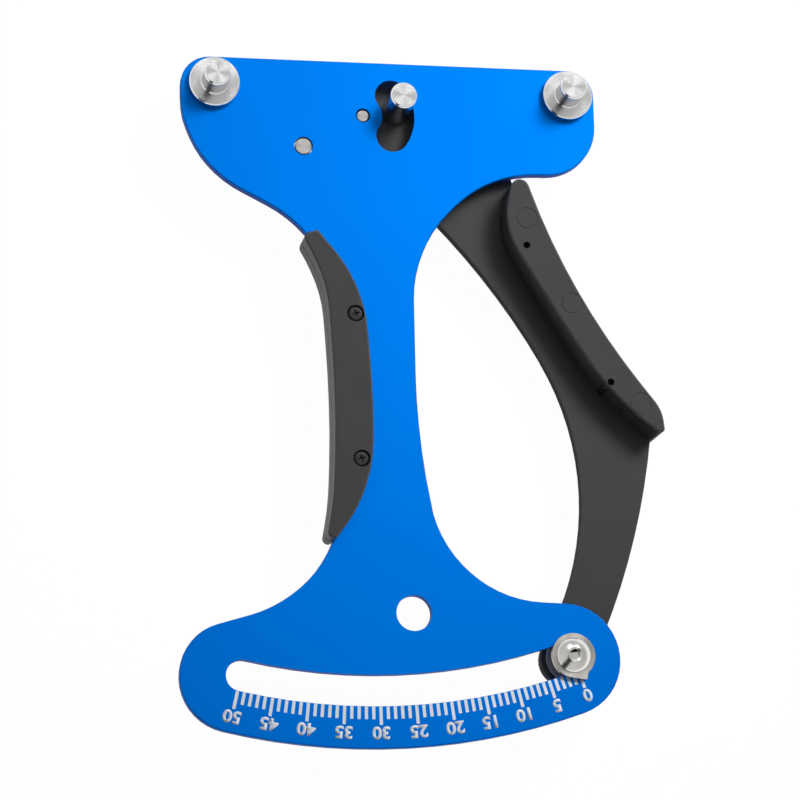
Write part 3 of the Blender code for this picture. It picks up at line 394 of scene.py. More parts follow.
anodised_blue, blue_tree, blue_shader = new_finish("anodised_blue", (0.0, 0.19, 0.80), 0.42, 0.3)
blue_shader.inputs["Specular IOR Level"].default_value = 0.05
blue_shader.inputs["Specular Tint"].default_value = (0.0, 0.30, 1.0, 1)
blue_grain = add_effect(blue_tree, grain, Grain_Size=0.22, Patch_Size=45.0)
blue_wear_and_edge_shade = add_effect(blue_tree, wear, Scuff_Size=14.0, Scuff_Amount=0.35)
blue_face = blend_colours(blue_tree, blue_grain.outputs["Patches"], (0.0, 0.185, 0.78), (0.0, 0.215, 0.86))
# Painted shade: the broken edges are a darker blue than the face. The walls are a dark purplish blue.
blue_edges_painted_shade = blend_colours(blue_tree, blue_wear_and_edge_shade.outputs["Broken Edges"], blue_face, (0.0, 0.17, 0.70))
blue_all = blend_colours(blue_tree, blue_wear_and_edge_shade.outputs["Walls"], blue_edges_painted_shade, (0.03, 0.10, 0.36))
blue_tree.links.new(blue_all, blue_shader.inputs["Base Color"])
blue_tree.links.new(calculate(blue_tree, "ADD", spread(blue_tree, blue_grain.outputs["Patches"], 0.38, 0.46),
                              calculate(blue_tree, "MULTIPLY", blue_wear_and_edge_shade.outputs["Scuffs"], 0.12)),
                    blue_shader.inputs["Roughness"])
raise_bump(blue_tree, blue_shader, blue_grain.outputs["Height"], 0.004 * MM)

# The cut edge follows the real outline more closely than the plain plate does, by up to 1 mm
frame_plate = merged_copy("frame_plate", "blue_frame_plate")
move_corner(frame_plate, (15.38, -107.21), (15.81, -107.18))
move_corner(frame_plate, (15.12, -107.56), (15.52, -107.24))
ease_edge(frame_plate, lambda x, y: x > 10,
          ((-15, 0), (-24, 1.0), (-38, 0.7), (-46, 0.46), (-54, 0.31), (-78, 0.33), (-94, 0.50), (-100, 0.62),
           (-110, 0.27), (-126, 0.26), (-134, 0)))
ease_edge(frame_plate, lambda x, y: x < -25 or (x < -6 and y < -25),
          ((-2, 0), (-6, 0.26), (-14, 0.38), (-22, 0.69), (-30, 0.54), (-38, 0.31), (-46, 0.15), (-56, 0)))
ease_edge(frame_plate, lambda x, y: x < -42 or (x < -6 and y > -143),
          ((-106, 0), (-118, -0.32), (-126, -0.53), (-134, -0.9), (-142, -0.67), (-150, -0.3), (-158, -0.23),
           (-170, 0)))
soften(frame_plate, 0.1 * MM)
fit(frame_plate, "frame", anodised_blue, "painted_blue", "frame_plate")


# Scale marks: 51 strokes of white ink printed under the slot, every fifth one longer. The gaps between
# them change a little along the scale, because a spoke's tension doesn't grow evenly.
plate_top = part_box("frame_plate")[1][2]
INK_THICKNESS = 0.03 * MM
MARK_WIDTH = 0.85 * MM
MARK_INNER_RADIUS = 161.1 * MM
MARK_OUTER_RADIUS = 164.4 * MM
LONG_MARK_OUTER_RADIUS = 165.9 * MM
MARK_COUNT = 51
MARK_ANGLE_TERMS = (-12.865, 0.651496, 0.00140694, -2.80479e-05)


def mark_angle(count):
    """The angle of a mark from straight below the pivot, counted from the 50 mark at the left."""
    return math.radians(sum(term * count ** power for power, term in enumerate(MARK_ANGLE_TERMS)))


def print_mark(outer):
    """One stroke straight below the pivot: a printed bar with the soft corners of thick ink."""
    bpy.ops.object.select_all(action="DESELECT")
    middle = -(MARK_INNER_RADIUS + outer) / 2
    bpy.ops.mesh.primitive_plane_add(size=MARK_WIDTH, location=(0, middle, plate_top))
    stroke = bpy.context.object
    bpy.ops.object.mode_set(mode="EDIT")
    bpy.ops.transform.resize(value=(1, (outer - MARK_INNER_RADIUS) / MARK_WIDTH, 1))
    bpy.ops.mesh.bevel(offset=0.08 * MM, segments=2, affect="VERTICES")
    bpy.ops.mesh.extrude_region_move(TRANSFORM_OT_translate={"value": (0, 0, INK_THICKNESS)})
    bpy.ops.mesh.select_all(action="SELECT")
    bpy.ops.mesh.normals_make_consistent(inside=False)
    bpy.ops.object.mode_set(mode="OBJECT")
    bpy.ops.object.transform_apply(location=True, rotation=True, scale=True)
    return stroke


def copy_turned(piece, angle):
    """A copy with its own mesh, turned about the pivot's axis."""
    only(piece)
    bpy.ops.object.duplicate()
    copy = bpy.context.object
    copy.rotation_euler = (0, 0, angle)
    bpy.ops.object.transform_apply(location=True, rotation=True, scale=True)
    return copy


def join_as(name, parts):
    """Joins the parts into one piece with its object at the origin."""
    bpy.ops.object.select_all(action="DESELECT")
    for part in parts:
        part.select_set(True)
    bpy.context.view_layer.objects.active = parts[0]
    bpy.ops.object.join()
    joined = bpy.context.object
    joined.name = name
    return joined


short_mark = print_mark(MARK_OUTER_RADIUS)
long_mark = print_mark(LONG_MARK_OUTER_RADIUS)
marks = [copy_turned(short_mark if count % 5 else long_mark, mark_angle(count))
         for count in range(MARK_COUNT)]
for pattern in (short_mark, long_mark):
    bpy.data.objects.remove(pattern, do_unlink=True)
scale_marks = join_as("scale_marks", marks)

white_ink, ink_tree, ink_shader = new_finish("white_ink", (0.85, 0.91, 0.97), 0.5)
ink_shader.inputs["Specular IOR Level"].default_value = 0.2
ink_grain = add_effect(ink_tree, grain, Grain_Size=0.12, Patch_Size=6.0)
ink_face = blend_colours(ink_tree, ink_grain.outputs["Patches"], (0.80, 0.87, 0.95), (0.90, 0.95, 1.0))
ink_tree.links.new(ink_face, ink_shader.inputs["Base Color"])
raise_bump(ink_tree, ink_shader, ink_grain.outputs["Height"], 0.003 * MM)
fit(scale_marks, "frame", white_ink, None)


# Scale numbers: 0 to 50 in white ink at the long marks, with their feet towards the pivot, so they are
# read from the tool's lower end.
NUMBER_FOOT_RADIUS = 166.25 * MM
NUMBER_HEIGHT = 3.45 * MM
NUMBER_WIDENING = 1.08
numbers = []
for count in range(0, MARK_COUNT, 5):
    bpy.ops.object.select_all(action="DESELECT")
    bpy.ops.object.text_add(location=(0, 0, 0))
    number = bpy.context.object
    number.data.body = str(50 - count)
    number.data.align_x = "CENTER"
    number.data.size = 1.0
    number.data.offset = 0.036
    number.data.resolution_u = 6
    bpy.ops.object.convert(target="MESH")
    number = bpy.context.object
    heights = [vertex.co.y for vertex in number.data.vertices]
    enlarge = NUMBER_HEIGHT / (max(heights) - min(heights))
    number.scale = (enlarge * NUMBER_WIDENING, enlarge, enlarge)
    number.location = (0, -min(heights) * enlarge, plate_top)
    bpy.ops.object.transform_apply(location=True, rotation=True, scale=True)
    bpy.ops.object.mode_set(mode="EDIT")
    bpy.ops.mesh.select_all(action="SELECT")
    bpy.ops.mesh.extrude_region_move(TRANSFORM_OT_translate={"value": (0, 0, INK_THICKNESS)})
    bpy.ops.mesh.select_all(action="SELECT")
    bpy.ops.mesh.remove_doubles(threshold=0.001 * MM)
    bpy.ops.mesh.normals_make_consistent(inside=False)
    bpy.ops.object.mode_set(mode="OBJECT")
    around = mark_angle(count)
    number.rotation_euler = (0, 0, math.pi + around)
    number.location = (NUMBER_FOOT_RADIUS * math.sin(around), -NUMBER_FOOT_RADIUS * math.cos(around), 0)
    bpy.ops.object.transform_apply(location=True, rotation=True, scale=True)
    numbers.append(number)
scale_numbers = join_as("scale_numbers", numbers)
fit(scale_numbers, "frame", white_ink, None)


# End posts: turned steel with a broad flange, faced and chamfered on the lathe, each held from behind
# by a countersunk screw in a blind bore.
def turn_piece(name, centre, profile, sides=72):
    """Turns a piece: a disc drawn through each (radius, height), or a ring where the profile closes."""
    is_ring = profile[0] == profile[-1]
    bpy.ops.object.select_all(action="DESELECT")
    radius, height = profile[0]
    bpy.ops.mesh.primitive_circle_add(vertices=sides, radius=radius,
                                      fill_type="NOTHING" if is_ring else "NGON",
                                      location=(centre[0], centre[1], height))
    piece = bpy.context.object
    piece.name = name
    bpy.ops.object.mode_set(mode="EDIT")
    bpy.ops.mesh.select_mode(type="EDGE" if is_ring else "FACE")
    bpy.ops.mesh.select_all(action="SELECT")
    for next_radius, next_height in profile[1:]:
        bpy.ops.mesh.extrude_region_move(TRANSFORM_OT_translate={"value": (0, 0, next_height - height)})
        bpy.ops.transform.resize(value=(next_radius / radius, next_radius / radius, 1),
                                 center_override=(centre[0], centre[1], next_height))
        radius, height = next_radius, next_height
    bpy.ops.mesh.select_mode(type="VERT")
    bpy.ops.mesh.select_all(action="SELECT")
    bpy.ops.mesh.remove_doubles(threshold=0.001 * MM)
    bpy.ops.mesh.normals_make_consistent(inside=False)
    bpy.ops.object.mode_set(mode="OBJECT")
    bpy.ops.object.transform_apply(location=True, rotation=True, scale=True)
    return piece


def carve(piece, cutter):
    """Cuts one shape out of a piece and takes the cutter away."""
    only(piece)
    cutting = piece.modifiers.new("cutting", "BOOLEAN")
    cutting.operation = "DIFFERENCE"
    cutting.solver = "EXACT"
    cutting.object = cutter
    bpy.ops.object.modifier_apply(modifier=cutting.name)
    bpy.data.objects.remove(cutter, do_unlink=True)


def hexagon_cutter(centre, flats, low, high):
    """A hexagon on this axis, this wide across its flats, from the low height to the high one."""
    bpy.ops.object.select_all(action="DESELECT")
    bpy.ops.mesh.primitive_cylinder_add(vertices=6, radius=flats / 2 / math.cos(math.pi / 6),
                                        depth=high - low,
                                        location=(centre[0], centre[1], (low + high) / 2))
    cutter = bpy.context.object
    bpy.ops.object.transform_apply(location=True, rotation=True, scale=True)
    return cutter


def middle_of(node):
    """The middle of a CAD node seen from above, with its lowest and highest point."""
    low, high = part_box(node)
    return ((low[0] + high[0]) / 2, (low[1] + high[1]) / 2), low[2], high[2]


# Turning marks, for every piece that comes off the lathe: fine grooves round its axis
turning, turning_in, turning_out = new_effect(
    "turning_marks",
    [("Centred Position", "NodeSocketVector", None), ("Groove Pitch", "NodeSocketFloat", 0.3)],
    [("Grooves", "NodeSocketFloat"), ("Sheen", "NodeSocketFloat")])
flat_place = turning.nodes.new("ShaderNodeVectorMath")
flat_place.operation = "MULTIPLY"
flat_place.inputs[1].default_value = (1000, 1000, 0)
turning.links.new(turning_in.outputs["Centred Position"], flat_place.inputs[0])
from_axis = turning.nodes.new("ShaderNodeVectorMath")
from_axis.operation = "LENGTH"
turning.links.new(flat_place.outputs[0], from_axis.inputs[0])
turns_out = calculate(turning, "DIVIDE", from_axis.outputs["Value"], turning_in.outputs["Groove Pitch"])
groove_wave = calculate(turning, "SINE", calculate(turning, "MULTIPLY", turns_out, math.tau))
turning.links.new(calculate(turning, "MULTIPLY_ADD", groove_wave, 0.5, 0.5), turning_out.inputs["Grooves"])
sheen_rings = turning.nodes.new("ShaderNodeTexNoise")
sheen_rings.noise_dimensions = "1D"
sheen_rings.inputs["Scale"].default_value = 2.5
sheen_rings.inputs["Detail"].default_value = 3.0
turning.links.new(from_axis.outputs["Value"], sheen_rings.inputs["W"])
turning.links.new(sheen_rings.outputs["Fac"], turning_out.inputs["Sheen"])


def turned_steel(name, centre, colour=(0.78, 0.78, 0.78), roughness=0.28, depth=0.0010):
    """Bright turned steel whose grooves run round this axis."""
    finish, tree, shader = new_finish(name, colour, roughness, 1.0)
    place = tree.nodes.new("ShaderNodeTexCoord")
    centring = tree.nodes.new("ShaderNodeMapping")
    centring.inputs["Location"].default_value = (-centre[0], -centre[1], 0)
    tree.links.new(place.outputs["Object"], centring.inputs["Vector"])
    rings = add_effect(tree, turning)
    tree.links.new(centring.outputs["Vector"], rings.inputs["Centred Position"])
    shade = [0.82 * part for part in colour]
    tree.links.new(blend_colours(tree, rings.outputs["Sheen"], shade, colour), shader.inputs["Base Color"])
    facing = tree.nodes.new("ShaderNodeSeparateXYZ")
    tree.links.new(place.outputs["Normal"], facing.inputs[0])
    faced = calculate(tree, "ABSOLUTE", facing.outputs["Z"])
    face_gloss = spread(tree, rings.outputs["Sheen"], roughness - 0.05, roughness + 0.08)
    tree.links.new(calculate(tree, "MULTIPLY", face_gloss, spread(tree, faced, 0.45, 1.0)),
                   shader.inputs["Roughness"])
    raise_bump(tree, shader, rings.outputs["Grooves"], depth * MM)
    round_axis = tree.nodes.new("ShaderNodeTangent")
    round_axis.direction_type = "RADIAL"
    round_axis.axis = "Z"
    tree.links.new(round_axis.outputs["Tangent"], shader.inputs["Tangent"])
    shader.inputs["Anisotropic"].default_value = 0.9
    shader.inputs["Anisotropic Rotation"].default_value = 0.25
    return finish


POST_RADIUS = 3.65 * MM
FLANGE_RADIUS = 6.9 * MM
FLANGE_THICKNESS = 2.1 * MM
FLANGE_CHAMFER = 0.35 * MM
POST_CHAMFER = 0.45 * MM
POST_FILLET = 0.25 * MM
SCREW_BORE = 1.8 * MM
SCREW_BORE_DEPTH = 4.2 * MM
for side in ("left_post", "right_post"):
    centre, seat, tip = middle_of(side)
    flange_top = seat + FLANGE_THICKNESS
    post = turn_piece("turned_" + side, centre, [
        (SCREW_BORE, seat + SCREW_BORE_DEPTH),
        (SCREW_BORE, seat),
        (FLANGE_RADIUS, seat),
        (FLANGE_RADIUS, flange_top - FLANGE_CHAMFER),
        (FLANGE_RADIUS - FLANGE_CHAMFER, flange_top),
        (POST_RADIUS + POST_FILLET, flange_top),
        (POST_RADIUS, flange_top + POST_FILLET),
        (POST_RADIUS, tip - POST_CHAMFER),
        (POST_RADIUS - POST_CHAMFER, tip),
    ])
    soften(post, 0.06 * MM)
    fit(post, "frame", turned_steel("turned_steel_" + side, centre), "turned_steel", side)


# Countersunk screws behind the three posts: black oxide steel with a hexagon socket, flush with the
# back of their plate.
black_oxide, oxide_tree, oxide_shader = new_finish("black_oxide", (0.03, 0.03, 0.032), 0.38, 0.6)
oxide_grain = add_effect(oxide_tree, grain, Grain_Size=0.1, Patch_Size=2.5)
oxide_wear = add_effect(oxide_tree, wear, Scuff_Size=2.0, Scuff_Amount=0.8)
oxide_face = blend_colours(oxide_tree, oxide_grain.outputs["Patches"], (0.022, 0.022, 0.024),
                           (0.05, 0.05, 0.052))
oxide_tree.links.new(blend_colours(oxide_tree, oxide_wear.outputs["Scuffs"], oxide_face, (0.14, 0.14, 0.14)),
                     oxide_shader.inputs["Base Color"])
oxide_tree.links.new(spread(oxide_tree, oxide_grain.outputs["Patches"], 0.30, 0.48),
                     oxide_shader.inputs["Roughness"])
raise_bump(oxide_tree, oxide_shader, oxide_grain.outputs["Height"], 0.004 * MM)

for post, body in (("left_post", "frame"), ("right_post", "frame"), ("center_post", "lever")):
    centre, back, end = middle_of(post + "_screw")
    screw = turn_piece("socket_screw_" + post, centre, [
        (3.4 * MM, back),
        (1.5 * MM, back + 1.9 * MM),
        (1.5 * MM, end - 0.3 * MM),
        (1.2 * MM, end),
    ], 48)
    carve(screw, hexagon_cutter(centre, 1.8 * MM, back - 1.0 * MM, back + 0.9 * MM))
    soften(screw, 0.08 * MM)
    fit(screw, body, black_oxide, "black_screw", post + "_screw")


# Frame grip: two moulded halves in black glass-filled nylon, closed round the plate's left edge, with
# rounded rims and a fine spark-eroded grain.
def moulded_nylon(name, painted_wall_shading):
    """Black moulded nylon with a grained face, lighter rims, and walls painted in a colour that stands in for
    their light and shade.
    """
    finish, tree, shader = new_finish(name, (0.038, 0.038, 0.038), 0.55)
    shader.inputs["Specular IOR Level"].default_value = 0.35
    skin = add_effect(tree, grain, Grain_Size=0.28, Patch_Size=18.0)
    wear_and_wall_masks = add_effect(tree, wear, Scuff_Size=7.0, Scuff_Amount=0.3)
    face = blend_colours(tree, skin.outputs["Patches"], (0.034, 0.034, 0.035), (0.046, 0.046, 0.046))
    rim = blend_colours(tree, wear_and_wall_masks.outputs["Broken Edges"], face, (0.060, 0.060, 0.060))
    # Painted light and shade on the walls, from the colour given for each grip
    walls = blend_colours(tree, wear_and_wall_masks.outputs["Walls"], rim, painted_wall_shading)
    tree.links.new(blend_colours(tree, wear_and_wall_masks.outputs["Scuffs"], walls, (0.07, 0.07, 0.07)),
                   shader.inputs["Base Color"])
    tree.links.new(spread(tree, skin.outputs["Height"], 0.50, 0.66), shader.inputs["Roughness"])
    raise_bump(tree, shader, skin.outputs["Height"], 0.02 * MM)
    return finish


GRIP_TOP_START = -37 * MM
GRIP_TOP_LIFT = 0.30
# Painted light: the frame grip's walls are lighter than its face, as if lit from the floor below
frame_grip_nylon = moulded_nylon("moulded_black_frame_grip_painted_lit_walls", (0.085, 0.085, 0.085))
for half in ("frame_grip_front", "frame_grip_back"):
    grip = merged_copy(half, "moulded_" + half)
    move_corner(grip, (-13.93, -35.34), (-13.93, -34.62))
    move_corner(grip, (-13.83, -35.91), (-13.95, -35.16))
    for corner in grip.data.vertices:
        if corner.co.x < -13.2 * MM and corner.co.y > GRIP_TOP_START:
            corner.co.y += GRIP_TOP_LIFT * (corner.co.y - GRIP_TOP_START)
    ease_edge(grip, lambda x, y: x < -13 - (y + 36) * 0.45,
              ((-34, -0.7), (-36, -0.9), (-42, -0.73), (-48, -0.34), (-54, -0.13), (-66, 0), (-90, 0.15),
               (-102, 0)))
    soften(grip, 0.2 * MM, 3)
    fit(grip, "frame", frame_grip_nylon, "grip_plastic", half)


# Grip screws: small black pan heads with a cross recess, sunk in their holes. Two hold the frame's grip
# from the front and two the lever's grip from the back.
def cross_screw(name, centre, head_face, under_head, tip):
    """A cross-recess screw on this axis; its head faces the way from under_head to head_face."""
    outward = 1 if head_face > under_head else -1
    screw = turn_piece(name, centre, [
        (1.0 * MM, tip),
        (1.3 * MM, tip + outward * 0.3 * MM),
        (1.3 * MM, under_head),
        (2.0 * MM, under_head),
        (2.0 * MM, head_face - outward * 0.45 * MM),
        (1.75 * MM, head_face - outward * 0.12 * MM),
        (1.3 * MM, head_face),
    ], 48)
    for quarter in (0, 1):
        bpy.ops.object.select_all(action="DESELECT")
        bpy.ops.mesh.primitive_cube_add(size=1, location=(0, 0, 0))
        arm = bpy.context.object
        arm.scale = (2.5 * MM, 0.62 * MM, 1.6 * MM)
        bpy.ops.object.transform_apply(location=True, rotation=True, scale=True)
        bpy.ops.object.mode_set(mode="EDIT")
        bpy.ops.mesh.select_all(action="DESELECT")
        shape = bmesh.from_edit_mesh(arm.data)
        for face in shape.faces:
            face.select_set(face.normal.z * outward < -0.5)
        bmesh.update_edit_mesh(arm.data)
        bpy.ops.transform.resize(value=(0.5, 0.45, 1), center_override=(0, 0, 0))
        bpy.ops.object.mode_set(mode="OBJECT")
        arm.rotation_euler = (0, 0, math.radians(20) + quarter * math.pi / 2)
        arm.location = (centre[0], centre[1], head_face)
        bpy.ops.object.transform_apply(location=True, rotation=True, scale=True)
        carve(screw, arm)
    soften(screw, 0.05 * MM)
    return screw


PAN_HEAD_HEIGHT = 1.3 * MM
for number in (1, 2):
    centre, tip, face = middle_of(f"frame_grip_screw_{number}")
    screw = cross_screw(f"cross_screw_frame_{number}", centre, face, face - PAN_HEAD_HEIGHT, tip)
    fit(screw, "frame", black_oxide, "black_screw", f"frame_grip_screw_{number}")
    centre, face, tip = middle_of(f"lever_grip_screw_{number}")
    screw = cross_screw(f"cross_screw_lever_{number}", centre, face, face + PAN_HEAD_HEIGHT, tip)
    fit(screw, "lever", black_oxide, "black_screw", f"lever_grip_screw_{number}")


# Pivot: a headed steel pin from the back, riveted over just below the plate's face, with a washer
# between the two plates and a nylon bush that keeps the spring's coil centred.
grey_nylon, nylon_tree, nylon_shader = new_finish("grey_nylon", (0.22, 0.22, 0.28), 0.5)
nylon_grain = add_effect(nylon_tree, grain, Grain_Size=0.3, Patch_Size=5.0)
nylon_face = blend_colours(nylon_tree, nylon_grain.outputs["Patches"], (0.19, 0.19, 0.25), (0.25, 0.25, 0.32))
nylon_tree.links.new(nylon_face, nylon_shader.inputs["Base Color"])
raise_bump(nylon_tree, nylon_shader, nylon_grain.outputs["Height"], 0.01 * MM)

PIVOT = (0.0, 0.0)
pivot_steel = turned_steel("turned_steel_pivot", PIVOT, (0.62, 0.60, 0.58), 0.4)
PIVOT_HEAD_RADIUS = 5.5 * MM
PIVOT_HEAD_HEIGHT = 1.8 * MM
PIVOT_STEM_RADIUS = 1.7 * MM
pin_low, pin_high = middle_of("pivot_pin")[1:]
pivot_pin = turn_piece("riveted_pivot_pin", PIVOT, [
    (4.9 * MM, pin_low),
    (PIVOT_HEAD_RADIUS, pin_low + 0.6 * MM),
    (PIVOT_HEAD_RADIUS, pin_low + PIVOT_HEAD_HEIGHT),
    (PIVOT_STEM_RADIUS, pin_low + PIVOT_HEAD_HEIGHT),
    (PIVOT_STEM_RADIUS, pin_high - 0.2 * MM),
    (1.5 * MM, pin_high),
])
soften(pivot_pin, 0.1 * MM, 3)
fit(pivot_pin, "frame", pivot_steel, "turned_steel", "pivot_pin")


def turn_ring(name, node, inner, outer):
    """A washer, bush or spacer in the place of its CAD node."""
    centre, low, high = middle_of(node)
    ring = turn_piece(name, centre, [(inner, low), (outer, low), (outer, high), (inner, high), (inner, low)])
    soften(ring, 0.1 * MM)
    return ring


pivot_washer = turn_ring("steel_pivot_washer", "pivot_washer", 2.0 * MM, 4.6 * MM)
fit(pivot_washer, "frame", pivot_steel, "turned_steel", "pivot_washer")
spring_bush = turn_ring("nylon_spring_bush", "spring_bush", 2.0 * MM, 4.0 * MM)
fit(spring_bush, "frame", grey_nylon, "nylon", "spring_bush")


# Spring pins: a stepped steel pin pressed into the frame, and a shorter one on the lever. Each has a
# small head behind the spring's leg.
PIN_RADIUS = 2.3 * MM
PIN_HEAD_HEIGHT = 0.8 * MM
PIN_STEM_RADIUS = 1.6 * MM
anchor_centre, anchor_low, anchor_high = middle_of("spring_anchor_pin")
anchor_pin = turn_piece("pressed_anchor_pin", anchor_centre, [
    (PIN_RADIUS, anchor_low),
    (PIN_RADIUS, anchor_low + PIN_HEAD_HEIGHT),
    (PIN_STEM_RADIUS, anchor_low + PIN_HEAD_HEIGHT),
    (PIN_STEM_RADIUS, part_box("frame_plate")[0][2]),
    (PIN_RADIUS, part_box("frame_plate")[0][2]),
    (PIN_RADIUS, anchor_high - 0.2 * MM),
    (PIN_RADIUS - 0.2 * MM, anchor_high),
], 48)
soften(anchor_pin, 0.08 * MM)
anchor_steel = turned_steel("turned_steel_anchor", anchor_centre, (0.62, 0.60, 0.58), 0.4)
fit(anchor_pin, "frame", anchor_steel, "turned_steel", "spring_anchor_pin")
lever_pin_centre, lever_pin_low, lever_pin_high = middle_of("lever_spring_pin")
lever_pin = turn_piece("pressed_lever_pin", lever_pin_centre, [
    (PIN_RADIUS, lever_pin_low),
    (PIN_RADIUS, lever_pin_low + PIN_HEAD_HEIGHT),
    (PIN_STEM_RADIUS, lever_pin_low + PIN_HEAD_HEIGHT),
    (PIN_STEM_RADIUS, lever_pin_high),
], 48)
soften(lever_pin, 0.08 * MM)
lever_pin_steel = turned_steel("turned_steel_lever_pin", lever_pin_centre)
fit(lever_pin, "lever", lever_pin_steel, "turned_steel", "lever_spring_pin")


# Lever plate: a flat 3 mm steel plate behind the frame, from the pivot down to the pointer, in a fine
# satin black lacquer.
black_lacquer, lacquer_tree, lacquer_shader = new_finish("black_lacquer", (0.04, 0.04, 0.04), 0.5)
lacquer_shader.inputs["Specular IOR Level"].default_value = 0.4
lacquer_grain = add_effect(lacquer_tree, grain, Grain_Size=0.16, Patch_Size=35.0)
lacquer_wear_and_wall_shade = add_effect(lacquer_tree, wear, Scuff_Size=16.0, Scuff_Amount=0.3)
lacquer_face = blend_colours(lacquer_tree, lacquer_grain.outputs["Patches"], (0.030, 0.030, 0.030),
                             (0.042, 0.042, 0.042))
lacquer_edge = blend_colours(lacquer_tree, lacquer_wear_and_wall_shade.outputs["Broken Edges"], lacquer_face,
                             (0.05, 0.05, 0.05))
# Painted shade: the lever's walls are nearly black, much darker than its face
lacquer_walls_painted_shade = blend_colours(lacquer_tree, lacquer_wear_and_wall_shade.outputs["Walls"], lacquer_edge,
                              (0.004, 0.004, 0.004))
lacquer_all = blend_colours(lacquer_tree, lacquer_wear_and_wall_shade.outputs["Scuffs"], lacquer_walls_painted_shade, (0.07, 0.07, 0.07))
lacquer_tree.links.new(lacquer_all, lacquer_shader.inputs["Base Color"])
lacquer_gloss = spread(lacquer_tree, lacquer_grain.outputs["Patches"], 0.44, 0.56)
lacquer_dullness = calculate(lacquer_tree, "MULTIPLY_ADD", lacquer_wear_and_wall_shade.outputs["Walls"], 0.4, lacquer_gloss)
lacquer_tree.links.new(lacquer_dullness, lacquer_shader.inputs["Roughness"])
raise_bump(lacquer_tree, lacquer_shader, lacquer_grain.outputs["Height"], 0.006 * MM)

lever_plate = merged_copy("lever_plate", "black_lever_plate")
ease_edge(lever_plate, lambda x, y: x < 28 - (y + 20) * 0.62 if y > -82 else x < 66 + (y + 82) * 0.17,
          ((-14, 0), (-26, 1.0), (-62, 0.94), (-102, 0.66), (-134, 0.36), (-150, 0)))
soften(lever_plate, 0.08 * MM)
fit(lever_plate, "lever", black_lacquer, "black_paint", "lever_plate")


# Centre post: turned steel like the end posts but with no flange. It stands on the lever and comes
# through the kidney-shaped slot.
center_centre, center_seat, center_tip = middle_of("center_post")
center_post = turn_piece("turned_center_post", center_centre, [
    (SCREW_BORE, center_seat + SCREW_BORE_DEPTH),
    (SCREW_BORE, center_seat),
    (POST_RADIUS, center_seat),
    (POST_RADIUS, center_tip - POST_CHAMFER),
    (POST_RADIUS - POST_CHAMFER, center_tip),
])
soften(center_post, 0.06 * MM)
fit(center_post, "lever", turned_steel("turned_steel_center", center_centre), "turned_steel", "center_post")


# Lever grip: two moulded halves like the frame's grip, the front one thicker, with three shallow rings
# left by the mould and two small vents over its screws.
# Painted shade: the lever grip's walls are nearly black, the shade from the lever that they face
lever_grip_nylon = moulded_nylon("moulded_black_lever_grip_painted_shaded_walls", (0.016, 0.016, 0.016))
RING_PLACES = ((43.7 * MM, -29.1 * MM), (55.3 * MM, -52.6 * MM), (73.3 * MM, -80.0 * MM))
RING_DEPTH = 0.12 * MM
for half in ("lever_grip_front", "lever_grip_back"):
    grip = merged_copy(half, "moulded_" + half)
    soften(grip, 0.2 * MM, 3)
    if half == "lever_grip_front":
        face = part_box(half)[1][2]
        for place in RING_PLACES:
            groove = turn_piece("ring_groove", place, [
                (2.72 * MM, face - RING_DEPTH),
                (2.98 * MM, face - RING_DEPTH),
                (3.06 * MM, face + 0.2 * MM),
                (2.64 * MM, face + 0.2 * MM),
                (2.72 * MM, face - RING_DEPTH),
            ], 48)
            carve(grip, groove)
        only(grip)
        bpy.ops.mesh.customdata_custom_splitnormals_clear()
        shade_evenly(grip)
    fit(grip, "lever", lever_grip_nylon, "grip_plastic", half)


# Torsion spring: hard-drawn steel wire wound two turns and a bit round the bush, behind the lever. One
# leg presses on the frame's anchor pin and the other on the lever's pin.
WIRE_RADIUS = 0.8 * MM
COIL_RADIUS = 5.3 * MM
LEG_OVERHANG = 3.0 * MM
LEG_CLEARANCE = 0.3 * MM
leg_side = COIL_RADIUS + WIRE_RADIUS + PIN_STEM_RADIUS + LEG_CLEARANCE
spring_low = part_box("torsion_spring")[0][2] + WIRE_RADIUS
spring_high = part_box("torsion_spring")[1][2] - WIRE_RADIUS
anchor_reach = math.hypot(*anchor_centre)
lever_reach = math.hypot(*lever_pin_centre)
frame_leg = math.atan2(anchor_centre[1], anchor_centre[0]) - math.acos(leg_side / anchor_reach)
lever_leg = math.atan2(lever_pin_centre[1], lever_pin_centre[0]) + math.acos(leg_side / lever_reach)
wound = (frame_leg - lever_leg) % math.tau + 2 * math.tau


def leg_end(angle, reach, side):
    """The end of a leg that leaves the coil at this angle, straight past the side of its pin."""
    along = math.sqrt(reach ** 2 - leg_side ** 2) + LEG_OVERHANG
    return (COIL_RADIUS * math.cos(angle) - side * along * math.sin(angle),
            COIL_RADIUS * math.sin(angle) + side * along * math.cos(angle))


wire_points = [(*leg_end(frame_leg, anchor_reach, 1), spring_low)]
WIRE_STEPS = 132
for step in range(WIRE_STEPS + 1):
    angle = frame_leg - wound * step / WIRE_STEPS
    lift = spring_low + (spring_high - spring_low) * step / WIRE_STEPS
    wire_points.append((COIL_RADIUS * math.cos(angle), COIL_RADIUS * math.sin(angle), lift))
wire_points.append((*leg_end(lever_leg, lever_reach, -1), spring_high))
wire = bpy.data.curves.new("spring_wire", "CURVE")
wire.dimensions = "3D"
wire.bevel_depth = WIRE_RADIUS
wire.bevel_resolution = 5
wire.use_fill_caps = True
wire_path = wire.splines.new("POLY")
wire_path.points.add(len(wire_points) - 1)
for control, point in zip(wire_path.points, wire_points):
    control.co = (*point, 1)
spring = bpy.data.objects.new("wound_spring", wire)
bpy.context.scene.collection.objects.link(spring)
only(spring)
bpy.ops.object.convert(target="MESH")
spring = bpy.context.object
bpy.ops.object.mode_set(mode="EDIT")
bpy.ops.mesh.select_all(action="SELECT")
bpy.ops.mesh.remove_doubles(threshold=0.001 * MM)
bpy.ops.mesh.normals_make_consistent(inside=False)
bpy.ops.object.mode_set(mode="OBJECT")
soften(spring, 0.08 * MM)

